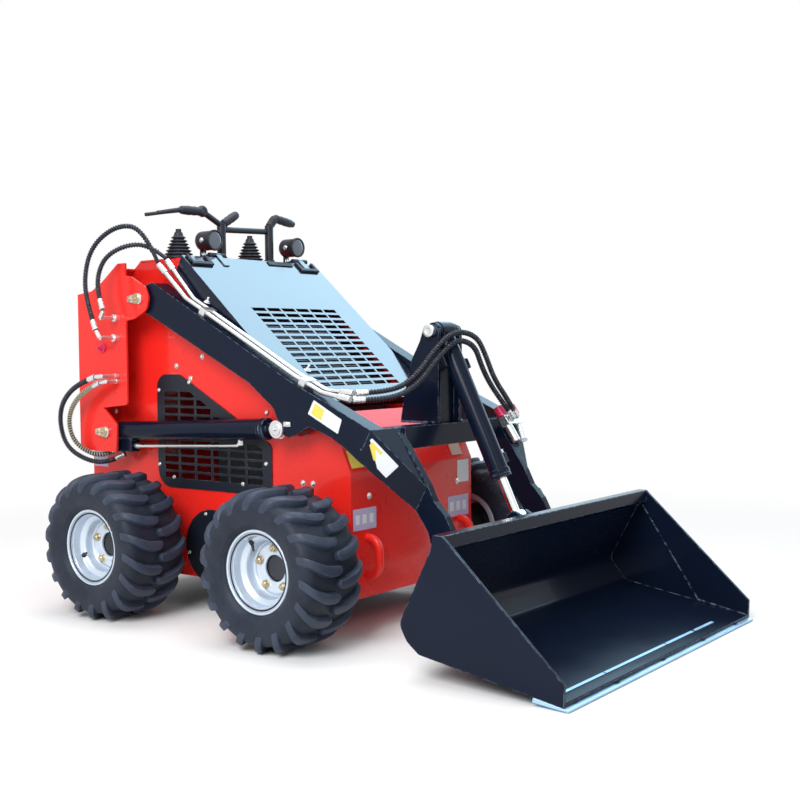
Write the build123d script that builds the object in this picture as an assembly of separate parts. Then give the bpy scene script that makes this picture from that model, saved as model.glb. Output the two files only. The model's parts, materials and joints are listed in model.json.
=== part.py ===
from build123d import *
import math
import os

# Mini skid steer loader on four wheels: lengths in mm, angles in degrees.
# Driving frame while modelling: X to the left-hand side, -X is the machine's right-hand side,
# -Y is forward, Z is up from the ground, and Y = 0 lies midway between the axles.
# Everything is moved by ORIGIN_SHIFT on export, so that the row's origin is the middle of its footprint.

# ---- driving dimensions: running gear ----
WHEELBASE = 708.0
TYRE_RADIUS = 226.0           # out to the lug tips
TYRE_WIDTH = 226.0
TRACK = 1007.0                # tyre centre to tyre centre
LUG_HEIGHT = 19.0
LUGS_A_SIDE = 18
LUG_OVERLAP = 5.0             # lugs run this far past the tyre's middle
SHOULDER_DROP = 47.0          # the carcass falls this much from crown to side
CROWN_SHARE = 0.62            # part of the half width that the crown takes
RIM_FLANGE_RADIUS = 117.0
RIM_SEAT_RADIUS = 101.6
RIM_DROP_RADIUS = 84.0
RIM_WIDTH = 186.0
RIM_WALL = 4.0
DISC_WALL = 7.0
DISC_FACE = 3.0               # disc's outer face, inboard of the tyre's middle
HUB_HOLE_RADIUS = 37.0
BOLT_CIRCLE = 114.3
WHEEL_BOLTS = 5
BOLT_RADIUS = 6.0
NUT_RADIUS = 11.0
NUT_HEIGHT = 11.0
SHAFT_RADIUS = 20.0
RUN_FIT = 0.05                # radial clearance of a pin or shaft that turns
SEAT_GAP = 0.3                # gap between pieces that rest on each other

# ---- driving dimensions: body ----
BODY_HALF = 306.0             # outer face of the side plates
PLATE = 6.0
TOWER_HALF = 395.0            # outer face of the rear towers
TOWER_PLATE = 8.0
BELLY_Z = 108.0
NOSE_Y = -447.0
NOSE_FOLD_Z = 476.0
NOSE_TOP = (-404.0, 572.0)
REAR_Y = 654.0
REAR_FOOT_Y = 700.0
REAR_FOOT_Z = 470.0
DECK_Z = 1125.0
TOWER_FRONT_Y = 412.0
TOWER_FOOT_Z = 500.0
TOWER_TOP_Y = 465.0           # the tower's roof starts here, behind the swing of the arm's tubes
HOOD_TOP = (232.0, 1131.0)    # outer face of the hood at its rear edge (y, z)
HOOD_LIP = (-286.0, 673.0)    # and at its front lip
HOOD_HALF = 314.0
HOOD_SHEET = 3.0
HOOD_SKIRT = 70.0
LID_GAP = 5.0

# ---- driving dimensions: lift arms and linkage (y, z) ----
ARM_PIVOT = (352.0, 994.0)
ARM_IN = 321.0                # upper box of each arm, inner and outer face
ARM_OUT = 380.0
TIP_IN = 243.0                # thick plate that carries the bucket
TIP_OUT = 267.0
LIFT_BASE = (524.0, 564.0)
LIFT_PIN = (-235.0, 598.0)
BUCKET_PIN = (-767.0, 188.0)
TILT_TOP = (-555.0, 880.0)
TILT_PIN = (-815.0, 340.0)
PIN_RADIUS = 17.0
LIFT_BORE = 31.0              # barrel outer radius
LIFT_ROD = 15.0
TILT_BORE = 29.0
TILT_ROD = 14.0
EYE_RADIUS = 28.0
EYE_WIDTH = 40.0
SIDE_PLAY = 1.5               # between an eye and the cheeks beside it

# ---- driving dimensions: bucket ----
BUCKET_HALF = 561.0
BUCKET_SHEET = 6.0
BUCKET_SIDE = 8.0
EDGE_TIP_Y = -1295.0
EDGE_WALL = 12.0

# ---- driving dimensions: tubes and hoses ----
TUBE_RADIUS = 7.0
HARD_TUBE_RADIUS = 5.0
HOSE_DIAMETER = 13.0
HOSE_SIDES = 10
FERRULE_RADIUS = 10.0

ORIGIN_SHIFT = -(EDGE_TIP_Y + REAR_FOOT_Y) / 2
WHEEL_Z = TYRE_RADIUS
AXLES = {"front": -WHEELBASE / 2, "rear": WHEELBASE / 2}
SIDES = {"right": -1, "left": 1}
ARM_MID = (ARM_IN + ARM_OUT) / 2

parts = {}


def add(name, *solids):
    """Keep the solids as one node, moved to the row's frame."""
    parts[name] = Compound(children=[Pos(0, ORIGIN_SHIFT, 0) * s for item in solids for s in item.solids()])


def plate(points, x0, x1, radii=0):
    """A plate seen from the side: an outline of (y, z) points, between x0 and x1."""
    radii = radii if isinstance(radii, (list, tuple)) else [radii] * len(points)
    outline = FilletPolyline(*points, radius=radii, close=True)
    return extrude(Plane.YZ.offset(min(x0, x1)) * make_face(outline), amount=abs(x1 - x0))


def bar(y0, y1, z0, z1, x0, x1):
    """A block between two limits along each axis."""
    low = (min(x0, x1), min(y0, y1), min(z0, z1))
    size = (abs(x1 - x0), abs(y1 - y0), abs(z1 - z0))
    return Pos(*low) * Box(*size, align=(Align.MIN, Align.MIN, Align.MIN))


def rod_x(at, radius, x0, x1):
    """A round bar along X, centred on (y, z)."""
    length = abs(x1 - x0)
    return Pos((x0 + x1) / 2, at[0], at[1]) * Rot(0, 90, 0) * Cylinder(radius, length)


def rod_y(x, z, radius, y0, y1):
    """A round bar along Y, centred on (x, z)."""
    return Pos(x, (y0 + y1) / 2, z) * Rot(90, 0, 0) * Cylinder(radius, abs(y1 - y0))


def rod_between(a, b, radius, x):
    """A round bar in the plane X = x from (y, z) to (y, z)."""
    start, end = Vector(x, *a), Vector(x, *b)
    axis = Plane(origin=start, z_dir=end - start)
    return extrude(axis * Circle(radius), amount=(end - start).length)


def lerp(a, b, share):
    """The point a share of the way from a to b."""
    return (a[0] + (b[0] - a[0]) * share, a[1] + (b[1] - a[1]) * share)


def lerp3(a, b, share):
    """The same for (x, y, z) points."""
    return tuple(p + (q - p) * share for p, q in zip(a, b))


def along(a, b, distance):
    """The point a distance from a towards b."""
    return lerp(a, b, distance / math.dist(a, b))


def offset_from(a, b, distance, side):
    """A point a distance along a to b, set off square to that line (positive is up or back)."""
    length = math.dist(a, b)
    ux, uy = (b[0] - a[0]) / length, (b[1] - a[1]) / length
    return (a[0] + ux * distance - uy * side, a[1] + uy * distance + ux * side)


def mirrored(solid, side):
    """Right-hand pieces are modelled at -X; the left-hand ones are their mirror images."""
    return solid if side < 0 else mirror(solid, about=Plane.YZ)


def bent_sheet(points, thickness, x0, x1):
    """A folded sheet: a path of (y, z) points given a thickness towards its left side."""
    path = Polyline(*points)
    sheet = make_face(offset(path, amount=thickness, side=Side.LEFT, closed=True, kind=Kind.INTERSECTION))
    return extrude(Plane.YZ.offset(x0) * sheet, amount=x1 - x0)


def swept(points, radius, bends, sides=0):
    """A bar or tube along (x, y, z) points with rounded bends; sides above 0 give it flats."""
    path = FilletPolyline(*points, radius=bends)
    section = RegularPolygon(radius, sides) if sides else Circle(radius)
    return sweep(Plane(origin=path @ 0, z_dir=path % 0) * section, path=path)


def strut(a, b, radius):
    """A round bar from (x, y, z) to (x, y, z)."""
    start, end = Vector(*a), Vector(*b)
    return extrude(Plane(origin=start, z_dir=end - start) * Circle(radius), amount=(end - start).length)


BOLTS = [(BOLT_CIRCLE / 2 * math.cos(math.radians(360 / WHEEL_BOLTS * i + 90)),
          BOLT_CIRCLE / 2 * math.sin(math.radians(360 / WHEEL_BOLTS * i + 90))) for i in range(WHEEL_BOLTS)]

# ---- wheels: modelled about the axle at the origin, outer side towards -X ----

def tyre():
    """Carcass with one flat to each half pitch of the tread, and slanted lugs by turns from each shoulder."""
    half = TYRE_WIDTH / 2
    base = TYRE_RADIUS - LUG_HEIGHT
    flats = 2 * LUGS_A_SIDE
    stations = [(-half + 2, base - SHOULDER_DROP), (-half * CROWN_SHARE, base), (half * CROWN_SHARE, base),
                (half - 2, base - SHOULDER_DROP)]
    rings = [Plane.YZ.offset(x) * RegularPolygon(r, flats) for x, r in stations]
    body = Compound(children=[loft([a, b], ruled=True) for a, b in zip(rings, rings[1:])])
    body = body.solids()[0].fuse(*body.solids()[1:])
    body = body - rod_x((0, 0), RIM_SEAT_RADIUS + SEAT_GAP, -TYRE_WIDTH, TYRE_WIDTH)
    for side in SIDES.values():
        body = body - rod_x((0, 0), RIM_FLANGE_RADIUS + SEAT_GAP,
                            side * (RIM_WIDTH / 2 - RIM_WALL - SEAT_GAP),
                            side * TYRE_WIDTH)
    footprint = [(-half, -14), (LUG_OVERLAP, -20), (LUG_OVERLAP, -4), (-half, 12)]
    lug = extrude(make_face(Polyline(*footprint, close=True)), amount=TYRE_RADIUS)
    lug = lug - Box(3 * TYRE_WIDTH, TYRE_WIDTH, 2 * (base - SHOULDER_DROP))
    shoulder = [(-half - 5, TYRE_RADIUS + 1), (-half * 0.66, TYRE_RADIUS + 1), (-half, TYRE_RADIUS - 21),
                (-half - 5, TYRE_RADIUS - 21)]
    lug = lug - extrude(Plane.XZ.offset(-50) * make_face(Polyline(*shoulder, close=True)), amount=100)
    pitch = 360 / LUGS_A_SIDE
    lugs = []
    for i in range(LUGS_A_SIDE):
        lugs.append(Rot(i * pitch, 0, 0) * lug)
        lugs.append(Rot((i + 0.5) * pitch, 0, 0) * mirror(lug, about=Plane.YZ))
    return body.fuse(*lugs)


def rim():
    """Pressed rim: flanges, bead seat, stepped well and a deep-set disc with its bolt holes."""
    half = RIM_WIDTH / 2
    inner = RIM_SEAT_RADIUS - RIM_WALL
    outline = [(-half, RIM_FLANGE_RADIUS), (-half + RIM_WALL, RIM_FLANGE_RADIUS),
               (-half + RIM_WALL, RIM_SEAT_RADIUS),
               (half - RIM_WALL, RIM_SEAT_RADIUS), (half - RIM_WALL, RIM_FLANGE_RADIUS),
               (half, RIM_FLANGE_RADIUS),
               (half, inner), (DISC_FACE + DISC_WALL, inner), (DISC_FACE + DISC_WALL, HUB_HOLE_RADIUS),
               (DISC_FACE, HUB_HOLE_RADIUS), (DISC_FACE, RIM_DROP_RADIUS - RIM_WALL),
               (-half * 0.55, RIM_DROP_RADIUS - RIM_WALL), (-half * 0.68, inner), (-half, inner)]
    wheel = revolve(make_face(Polyline(*outline, close=True)), axis=Axis.X, revolution_arc=360)
    for at in BOLTS:
        wheel = wheel - rod_x(at, BOLT_RADIUS, DISC_FACE - 1, DISC_FACE + DISC_WALL + 1)
    return wheel


HUB_BACK = DISC_FACE + DISC_WALL + SEAT_GAP
HUB_FLANGE = 13.0
HUB_BOSS = 40.0
MOTOR_RADIUS = 52.0
MOTOR_HALF = 75.0             # half the side of the motor's square flange
MOTOR_FLANGE = 12.0


def hub():
    """Drive hub behind the disc, with its spigot, studs and nuts."""
    body = rod_x((0, 0), BOLT_CIRCLE / 2 + 14, HUB_BACK, HUB_BACK + HUB_FLANGE)
    body = body + rod_x((0, 0), HUB_HOLE_RADIUS - 2, DISC_FACE - 14, HUB_BACK + HUB_BOSS)
    body = body - rod_x((0, 0), SHAFT_RADIUS + RUN_FIT, DISC_FACE - 4, HUB_BACK + HUB_BOSS + 1)
    nuts = []
    for at in BOLTS:
        nut = Pos(DISC_FACE - SEAT_GAP - NUT_HEIGHT, *at) * Rot(0, 90, 0)
        nuts.append(nut * extrude(RegularPolygon(NUT_RADIUS, 6), amount=NUT_HEIGHT))
    return Compound(children=[body, *nuts])


def drive_motor():
    """Hydraulic wheel motor: square flange on the side plate, round body and output shaft."""
    wall = TRACK / 2 - BODY_HALF
    nose = HUB_BACK + HUB_BOSS + 6
    motor = rod_x((0, 0), MOTOR_RADIUS, nose, wall - MOTOR_FLANGE)
    motor = motor + bar(-MOTOR_HALF, MOTOR_HALF, -MOTOR_HALF, MOTOR_HALF, wall - MOTOR_FLANGE, wall)
    return motor + rod_x((0, 0), SHAFT_RADIUS, DISC_FACE, nose)


TYRE, RIM, HUB, MOTOR = tyre(), rim(), hub(), drive_motor()
motors = []
for end, axle_y in AXLES.items():
    for side_name, side in SIDES.items():
        place = Pos(side * TRACK / 2, axle_y, WHEEL_Z)
        add(f"tyre_{end}_{side_name}", place * mirrored(TYRE, side))
        add(f"rim_{end}_{side_name}", place * mirrored(RIM, side))
        add(f"hub_{end}_{side_name}", place * mirrored(HUB, side))
        motors.append(place * mirrored(MOTOR, side))
add("drive_motors", *motors)

# ---- body ----
HOOD_RUN = math.dist(HOOD_LIP, HOOD_TOP)
under_hood = 12.0             # side plates stop this far under the hood's face
GRILLE = [(366, 752), (257, 752), (8, 620), (-143, 540), (-143, 398), (-110, 388), (366, 388)]
GRILLE_RADII = [44, 40, 0, 26, 0, 0, 60]
GRILLE_FIELD = [(345, 716), (250, 716), (-115, 522), (-115, 418), (345, 408)]
GRILLE_WALL = 3.0
SIDE_SLOT = (64.0, 18.0)      # a slot's length and height
SLOT_SHARE = 0.25             # shorter pieces of a slot than this are left out
SLOT_COLUMNS = [300.0 - 74.5 * i for i in range(6)]
SLOT_ROWS = [688.0 - 26.0 * i for i in range(11)]
GRILLE_FRAME = 16.0           # the grille panel overlaps its opening by this much
COVER_AT = (120.0, 210.0)     # round access cover (y, z)
COVER_RADIUS = 118.0
COVER_WALL = 4.0
KEEPER_WALL = 8.0             # keeper plates of the pivot pins
ENGINE = (-180.0, 200.0, 300.0, 720.0, -200.0, 200.0)     # block inside the body: y, z and x limits
BEARERS = ((-150.0, -90.0), (110.0, 170.0))

body_outline = [
    (NOSE_Y, BELLY_Z), (NOSE_Y, NOSE_FOLD_Z), NOSE_TOP,
    offset_from(HOOD_LIP, HOOD_TOP, -LID_GAP - 6, -under_hood),
    offset_from(HOOD_LIP, HOOD_TOP, -LID_GAP - 6, -38),
    offset_from(HOOD_LIP, HOOD_TOP, HOOD_SHEET + LID_GAP, -38),
    offset_from(HOOD_LIP, HOOD_TOP, HOOD_SHEET + LID_GAP, -under_hood),
    offset_from(HOOD_LIP, HOOD_TOP, HOOD_RUN, -under_hood),
    (447, DECK_Z - 10), (537, 1047), (584, 1025), (REAR_Y, 1017), (REAR_Y, REAR_FOOT_Z),
    (REAR_FOOT_Y, REAR_FOOT_Z), (REAR_FOOT_Y, 260), (600, BELLY_Z),
]


def grille_opening():
    middle = (sum(p[0] for p in GRILLE) / len(GRILLE), sum(p[1] for p in GRILLE) / len(GRILLE))
    return [along(p, middle, GRILLE_FRAME * 1.4) for p in GRILLE]


def side_plate():
    sheet = plate(body_outline, -BODY_HALF, -BODY_HALF + PLATE)
    sheet = sheet - plate(grille_opening(), -BODY_HALF - 1, -BODY_HALF + PLATE + 1, 25)
    for at in (ARM_PIVOT, LIFT_BASE):
        sheet = sheet - rod_x(at, PIN_RADIUS + RUN_FIT, -BODY_HALF - 1, -BODY_HALF + PLATE + 1)
    return sheet


def rear_tower():
    """Outer rear plate that carries the arm pivot and the lift cylinder's base, with its rear wall."""
    crest, bend = (447, DECK_Z - 15), (537, 1047)
    back = [crest, bend, (584, 1025), (REAR_Y, 1017), (REAR_Y, TOWER_FOOT_Z)]
    front = [(TOWER_FRONT_Y + 60, TOWER_FOOT_Z), (468, 540), (466, 590), (531, 643), (TOWER_FRONT_Y, 655),
             (TOWER_FRONT_Y, 925), (369, 931), (312, 958), (301, 994), (316, 1030), (383, 1065),
             (TOWER_FRONT_Y, 1070),
             (TOWER_FRONT_Y, DECK_Z - 15)]
    radii = [0, 0, 0, 0, 30, 0, 20, 20, 0, 8, 8, 0, 25, 25, 25, 0, 0, 0]
    sheet = plate(back + front, -TOWER_HALF, -TOWER_HALF + TOWER_PLATE, radii)
    inner = -BODY_HALF - SEAT_GAP
    rear_wall = bar(REAR_Y - PLATE, REAR_Y, TOWER_FOOT_Z, 1016, -TOWER_HALF + TOWER_PLATE, inner)
    roof = lerp(crest, bend, (TOWER_TOP_Y - crest[0]) / (bend[0] - crest[0]))
    top = plate([roof, bend, (584, 1025), (REAR_Y - PLATE, 1018),
                 (REAR_Y - PLATE, 1012), (583, 1019), (534, 1041), (roof[0], roof[1] - PLATE)],
                -TOWER_HALF + TOWER_PLATE, inner)
    web = bar(590, 590 + PLATE, 790, 920, -TOWER_HALF + TOWER_PLATE, inner)
    tower = sheet + rear_wall + top + web
    for at in (ARM_PIVOT, LIFT_BASE):
        tower = tower - rod_x(at, PIN_RADIUS + RUN_FIT, -TOWER_HALF - 1, -TOWER_HALF + TOWER_PLATE + 1)
    return tower


def chassis_pin(at):
    """Pivot pin held in the side plate and the tower, with its keeper plate outside."""
    seat = -TOWER_HALF - SEAT_GAP
    pin = rod_x(at, PIN_RADIUS, -BODY_HALF + PLATE + 8, seat)
    pear = [(at[0] - 24, at[1] + 20), (at[0] - 24, at[1] - 20), (at[0] + 42, at[1] - 8),
            (at[0] + 42, at[1] + 8)]
    return pin + plate(pear, seat - KEEPER_WALL, seat, [14, 14, 6, 6])


def side_grille():
    """Pressed panel over the opening, with rows of slots cut short by its sloping edge."""
    outer, inner = -BODY_HALF - SEAT_GAP - GRILLE_WALL, -BODY_HALF - SEAT_GAP
    panel = plate(GRILLE, outer, inner, GRILLE_RADII)
    slots = [bar(y - SIDE_SLOT[0] / 2, y + SIDE_SLOT[0] / 2, z - SIDE_SLOT[1] / 2, z + SIDE_SLOT[1] / 2,
                 outer - 1, inner + 1) for y in SLOT_COLUMNS for z in SLOT_ROWS]
    field = plate(GRILLE_FIELD, outer - 1, inner + 1)
    cuts = []
    for slot in slots:
        for piece in (slot & field).solids():
            if piece.volume > SLOT_SHARE * slot.volume:
                cuts.append(piece)
    return panel.cut(*cuts)


def side_cover():
    """Round access cover low on the side plate."""
    return rod_x(COVER_AT, COVER_RADIUS, -BODY_HALF - SEAT_GAP - COVER_WALL, -BODY_HALF - SEAT_GAP)


for side_name, side in SIDES.items():
    add(f"side_plate_{side_name}", mirrored(side_plate(), side))
    add(f"rear_tower_{side_name}", mirrored(rear_tower(), side))
add("side_grilles", *[mirrored(cover, s) for cover in (side_grille(), side_cover()) for s in SIDES.values()])
add("chassis_pins", *[mirrored(chassis_pin(at), s) for at in (ARM_PIVOT, LIFT_BASE) for s in SIDES.values()])

INNER = BODY_HALF - PLATE - SEAT_GAP
nose_path = [(-330, BELLY_Z), (NOSE_Y, BELLY_Z), (NOSE_Y, NOSE_FOLD_Z), NOSE_TOP]
add("nose_plate", bent_sheet(list(reversed(nose_path)), PLATE, -INNER, INNER))
COVER_TOP = offset_from(HOOD_LIP, HOOD_TOP, -48, 0)
COVER_FOOT = offset_from(HOOD_LIP, HOOD_TOP, -118, 0)
cover_lip = offset_from(HOOD_LIP, HOOD_TOP, -40, -60)
cover_end = (NOSE_TOP[0] + 9, NOSE_TOP[1] + 2)
add("nose_cover", bent_sheet([cover_lip, COVER_TOP, COVER_FOOT, cover_end], 3, -INNER, INNER))
add("belly_pan", bar(-320, 590, BELLY_Z, BELLY_Z + PLATE, -INNER, INNER))
add("rear_panel", bar(REAR_Y - PLATE, REAR_Y, 180, 1008, -INNER, INNER))
deck_path = [(262, DECK_Z - 40), (262, DECK_Z), (445, DECK_Z - 1), (536, 1049), (REAR_Y - 2, 1020)]
add("deck", bent_sheet(list(reversed(deck_path)), PLATE, -INNER, INNER))
bearers = [bar(y0, y1, 240, ENGINE[2] - SEAT_GAP, -INNER, INNER) for y0, y1 in BEARERS]
add("engine_block", bar(*ENGINE), *bearers)


LOOP_RADIUS = 12.0
LOOP_LOW, LOOP_HIGH = 172.0, 283.0
LOOP_REACH = 47.0
LOOP_X = 235.0
LOOP_BEND = 40.0


def tow_loop(x):
    """Round-bar loop that stands out of the nose plate."""
    start = NOSE_Y - SEAT_GAP
    path = [(x, start, LOOP_LOW), (x, start - LOOP_REACH, LOOP_LOW), (x, start - LOOP_REACH, LOOP_HIGH),
            (x, start, LOOP_HIGH)]
    return swept(path, LOOP_RADIUS, LOOP_BEND, 12)


add("tow_loops", tow_loop(-LOOP_X), tow_loop(LOOP_X))

# ---- hood: folded lid with side skirts, hinged along its rear edge ----
HINGE = (245.0, 1138.0)
KNUCKLE = 9.0
HINGE_PIN = 5.0
HINGE_X = (-185.0, 215.0)     # right-hand end of each hinge
HINGE_WIDTH = 70.0
KNUCKLE_WIDTH = 22.0
HOOD_SLOTS = (6, 14)          # columns and rows of the grille
HOOD_SLOT = (60.0, 16.5)      # a slot's width and height
HOOD_FIELD_X = 205.0          # half the grille's width
HOOD_FIELD_LOW = 60.0         # the grille starts this far up from the front lip
HOOD_ROW_PITCH = 27.3


def hood_leaf(x):
    """Hinge leaf on the hood, with the middle knuckle."""
    x0 = x + (HINGE_WIDTH - KNUCKLE_WIDTH) / 2
    run = math.dist(HOOD_LIP, HINGE)
    leaf = plate([offset_from(HOOD_LIP, HOOD_TOP, HOOD_RUN - 45, 0),
                  offset_from(HOOD_LIP, HOOD_TOP, HOOD_RUN - 45, 4),
                  offset_from(HOOD_LIP, HOOD_TOP, run, 4), offset_from(HOOD_LIP, HOOD_TOP, run, -3),
                  offset_from(HOOD_LIP, HOOD_TOP, HOOD_RUN - 3, -HOOD_SHEET)], x0, x0 + KNUCKLE_WIDTH)
    leaf = leaf + rod_x(HINGE, KNUCKLE, x0, x0 + KNUCKLE_WIDTH)
    return leaf - rod_x(HINGE, HINGE_PIN + RUN_FIT, x0 - 1, x0 + KNUCKLE_WIDTH + 1)


def deck_leaf(x):
    """Fixed hinge leaf on the deck: two outer knuckles and the pin."""
    base = DECK_Z + SEAT_GAP
    leaf = rod_x(HINGE, HINGE_PIN, x, x + HINGE_WIDTH)
    for x0 in (x, x + HINGE_WIDTH - KNUCKLE_WIDTH):
        web = plate([(HINGE[0], HINGE[1] + KNUCKLE - 1), (HINGE[0] + 40, base + 4), (HINGE[0] + 40, base),
                     (HINGE[0] + 18, base), (HINGE[0], HINGE[1] - KNUCKLE + 1)], x0, x0 + KNUCKLE_WIDTH)
        leaf = leaf + web + rod_x(HINGE, KNUCKLE, x0, x0 + KNUCKLE_WIDTH)
    return leaf


def hood():
    lip = offset_from(HOOD_LIP, HOOD_TOP, 0, -30)
    skirt = [HOOD_LIP, HOOD_TOP, offset_from(HOOD_LIP, HOOD_TOP, HOOD_RUN - 14, -HOOD_SKIRT),
             offset_from(HOOD_LIP, HOOD_TOP, 60, -HOOD_SKIRT), lip]
    shell = plate(skirt, -HOOD_HALF, HOOD_HALF)
    hollow = [offset_from(HOOD_LIP, HOOD_TOP, HOOD_SHEET, -HOOD_SHEET),
              offset_from(HOOD_LIP, HOOD_TOP, HOOD_RUN + 30, -HOOD_SHEET),
              offset_from(HOOD_LIP, HOOD_TOP, HOOD_RUN + 30, -HOOD_SKIRT - 30),
              offset_from(HOOD_LIP, HOOD_TOP, HOOD_SHEET, -HOOD_SKIRT - 30)]
    shell = shell - plate(hollow, -HOOD_HALF + HOOD_SHEET, HOOD_HALF - HOOD_SHEET)
    for x in HINGE_X:
        shell = shell + hood_leaf(x)
    slots = []
    for i in range(HOOD_SLOTS[0]):
        for j in range(HOOD_SLOTS[1]):
            x = HOOD_FIELD_X * (2 * i + 1 - HOOD_SLOTS[0]) / HOOD_SLOTS[0]
            run = HOOD_FIELD_LOW + HOOD_ROW_PITCH * (j + 0.5)
            ends = [offset_from(HOOD_LIP, HOOD_TOP, run + a * HOOD_SLOT[1] / 2, b) for a, b in
                    ((-1, 5), (1, 5), (1, -HOOD_SHEET - 5), (-1, -HOOD_SHEET - 5))]
            slots.append(plate(ends, x - HOOD_SLOT[0] / 2, x + HOOD_SLOT[0] / 2))
    return shell.cut(*slots)


add("hood", hood())
add("hood_hinges", *[deck_leaf(x) for x in HINGE_X])

# ---- lift arms, one welded frame: two arms, cross tube and the tilt cylinder's tower ----
TUBE_AT = (-566.0, 577.0)     # cross tube's middle
TUBE_HALF = 31.0
BEND_TOP, BEND_FOOT = (-582.0, 607.0), (-533.0, 523.0)     # the outer plate turns inwards here
TIP_TOP, TIP_FOOT = (-688.0, 447.0), (-654.0, 374.0)       # and meets the thick plate here
ARM_TOP_MIDDLE = (-273.0, 744.0)
ARM_TOP_BACK = (300.0, 1046.0)
TIP_RADIUS = 38.0


def lift_arm():
    """Upper box with its cylinder gusset, a box that runs inwards, and the thick plate down to the bucket."""
    box = [ARM_TOP_BACK, (376, 1020), (390, 985), (362, 962), (262, 917), (-121, 732), (-219, 660),
           (-262, 566),
           (-330, 596), (-355, 610), (-438, 583), (-493, 552), BEND_FOOT, BEND_TOP, ARM_TOP_MIDDLE]
    arm = plate(box, -ARM_OUT, -ARM_IN, [30, 30, 30, 30, 0, 25, 25, 34, 12, 20, 20, 0, 0, 0, 0])
    turn = plate([BEND_FOOT, BEND_TOP, TIP_TOP, TIP_FOOT], -ARM_OUT, -TIP_OUT)
    fold = Vector(0, BEND_FOOT[0] - BEND_TOP[0], BEND_FOOT[1] - BEND_TOP[1])
    inwards = Vector(ARM_OUT - TIP_OUT, TIP_TOP[0] - BEND_TOP[0], TIP_TOP[1] - BEND_TOP[1])
    square = inwards.cross(fold)
    face = Plane(origin=(-ARM_OUT, *BEND_TOP), x_dir=fold, z_dir=square if square.X < 0 else -square)
    turn = turn - extrude(face * Rectangle(4 * ARM_OUT, 4 * ARM_OUT), amount=ARM_OUT)
    tip = [BEND_FOOT, (-535, 546), (-535, 608), (-582, 608), (-641, 525), (-690, 452), (-712, 408),
           (-750, 369),
           (-768, 335), (BUCKET_PIN[0] - TIP_RADIUS, BUCKET_PIN[1]),
           (BUCKET_PIN[0], BUCKET_PIN[1] - TIP_RADIUS),
           (BUCKET_PIN[0] + TIP_RADIUS, BUCKET_PIN[1]), (-690, 323), TIP_FOOT]
    blade = plate(tip, -TIP_OUT, -TIP_IN, [0, 0, 0, 0, 0, 0, 0, 12, 20, 16, 36, 30, 0, 0])
    tube_front = lerp(BEND_TOP, TIP_TOP, (BEND_TOP[0] - TUBE_AT[0] + TUBE_HALF) / (BEND_TOP[0] - TIP_TOP[0]))
    tube_back = TUBE_AT[0] + TUBE_HALF
    tube_low = TUBE_AT[1] - TUBE_HALF
    bridge = plate([(tube_back, tube_low), (tube_back, BEND_TOP[1]), BEND_TOP, tube_front,
                    (tube_front[0], tube_low)],
                   -ARM_IN - 1, -TIP_IN)
    arm = arm + turn + blade + bridge
    slot_half = EYE_WIDTH / 2 + SIDE_PLAY
    slot = [(-120, 690), (-120, 560), (-300, 540), (-300, 640), (-215, 700)]
    arm = arm - plate(slot, -ARM_MID - slot_half, -ARM_MID + slot_half)
    arm = arm - rod_x(ARM_PIVOT, PIN_RADIUS + RUN_FIT, -ARM_OUT - 1, -ARM_IN + 1)
    return arm - rod_x(BUCKET_PIN, PIN_RADIUS + RUN_FIT, -TIP_OUT - 1, -TIP_IN + 1)


for side_name, side in SIDES.items():
    add(f"arm_{side_name}", mirrored(lift_arm(), side))
tube_x = TIP_IN - SEAT_GAP
add("cross_tube", bar(TUBE_AT[0] - TUBE_HALF, TUBE_AT[0] + TUBE_HALF, TUBE_AT[1] - TUBE_HALF,
                      TUBE_AT[1] + TUBE_HALF,
                      -tube_x, tube_x))
CHEEK_OUT = 60.0              # outer faces of the tower's two cheeks
CHEEK_WALL = 12.0
EYE_HALF = 28.5               # half the width of the tilt cylinder's base eye
tower_foot = TUBE_AT[1] + TUBE_HALF + SEAT_GAP
cheek = [(-440, tower_foot), (-578, tower_foot), (-583, 818), (-583, 880), (TILT_TOP[0], 912), (-525, 880),
         (-513, 848), (-484, 796), (-455, 690)]
cheek_radii = [0, 0, 0, 26, 26, 24, 12, 16, 0]
cheeks = []
for side in SIDES.values():
    one = plate(cheek, side * (CHEEK_OUT - CHEEK_WALL), side * CHEEK_OUT, cheek_radii)
    boss = rod_x(TILT_TOP, 25, side * (EYE_HALF + SIDE_PLAY), side * (CHEEK_OUT - CHEEK_WALL))
    cheeks.append((one + boss) - rod_x(TILT_TOP, PIN_RADIUS + RUN_FIT, -CHEEK_OUT - 1, CHEEK_OUT + 1))
web = bar(-560, -552, tower_foot, 770, -CHEEK_OUT + CHEEK_WALL, CHEEK_OUT - CHEEK_WALL)
add("tilt_tower", cheeks[0] + web + cheeks[1])

# ---- hard tubes along the right-hand arm, in two clamps ----
CLAMP_LENGTH = 24.0
CLAMP_HEIGHT = 23.0
arm_tubes = [
    [(-358, 290, 1100), (-358, 168, 990), (-358, -285, 752), (-358, -388, 706), (-352, -488, 688)],
    [(-333, 280, 1114), (-333, 160, 990), (-333, -285, 755), (-333, -388, 711), (-327, -478, 704)],
]
tubes = [swept(points, TUBE_RADIUS, 55, 12) for points in arm_tubes]
for points, tube in zip(arm_tubes, list(tubes)):
    for end, beyond in ((points[0], points[1]), (points[-1], points[-2])):
        inwards = (Vector(*beyond) - Vector(*end)).normalized()
        stop = Vector(*end) + inwards * 42
        tubes.append(strut(end, tuple(stop), FERRULE_RADIUS))
for line, run, up in (((ARM_TOP_MIDDLE, ARM_TOP_BACK), 398, 1), ((ARM_TOP_MIDDLE, BEND_TOP), 38, -1)):
    corners = [(run, SEAT_GAP), (run + CLAMP_LENGTH, SEAT_GAP), (run + CLAMP_LENGTH, CLAMP_HEIGHT),
               (run, CLAMP_HEIGHT)]
    tubes.append(plate([offset_from(*line, d, up * h) for d, h in corners], -372, -321))
pipework = tubes[0].fuse(*tubes[1:])
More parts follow.
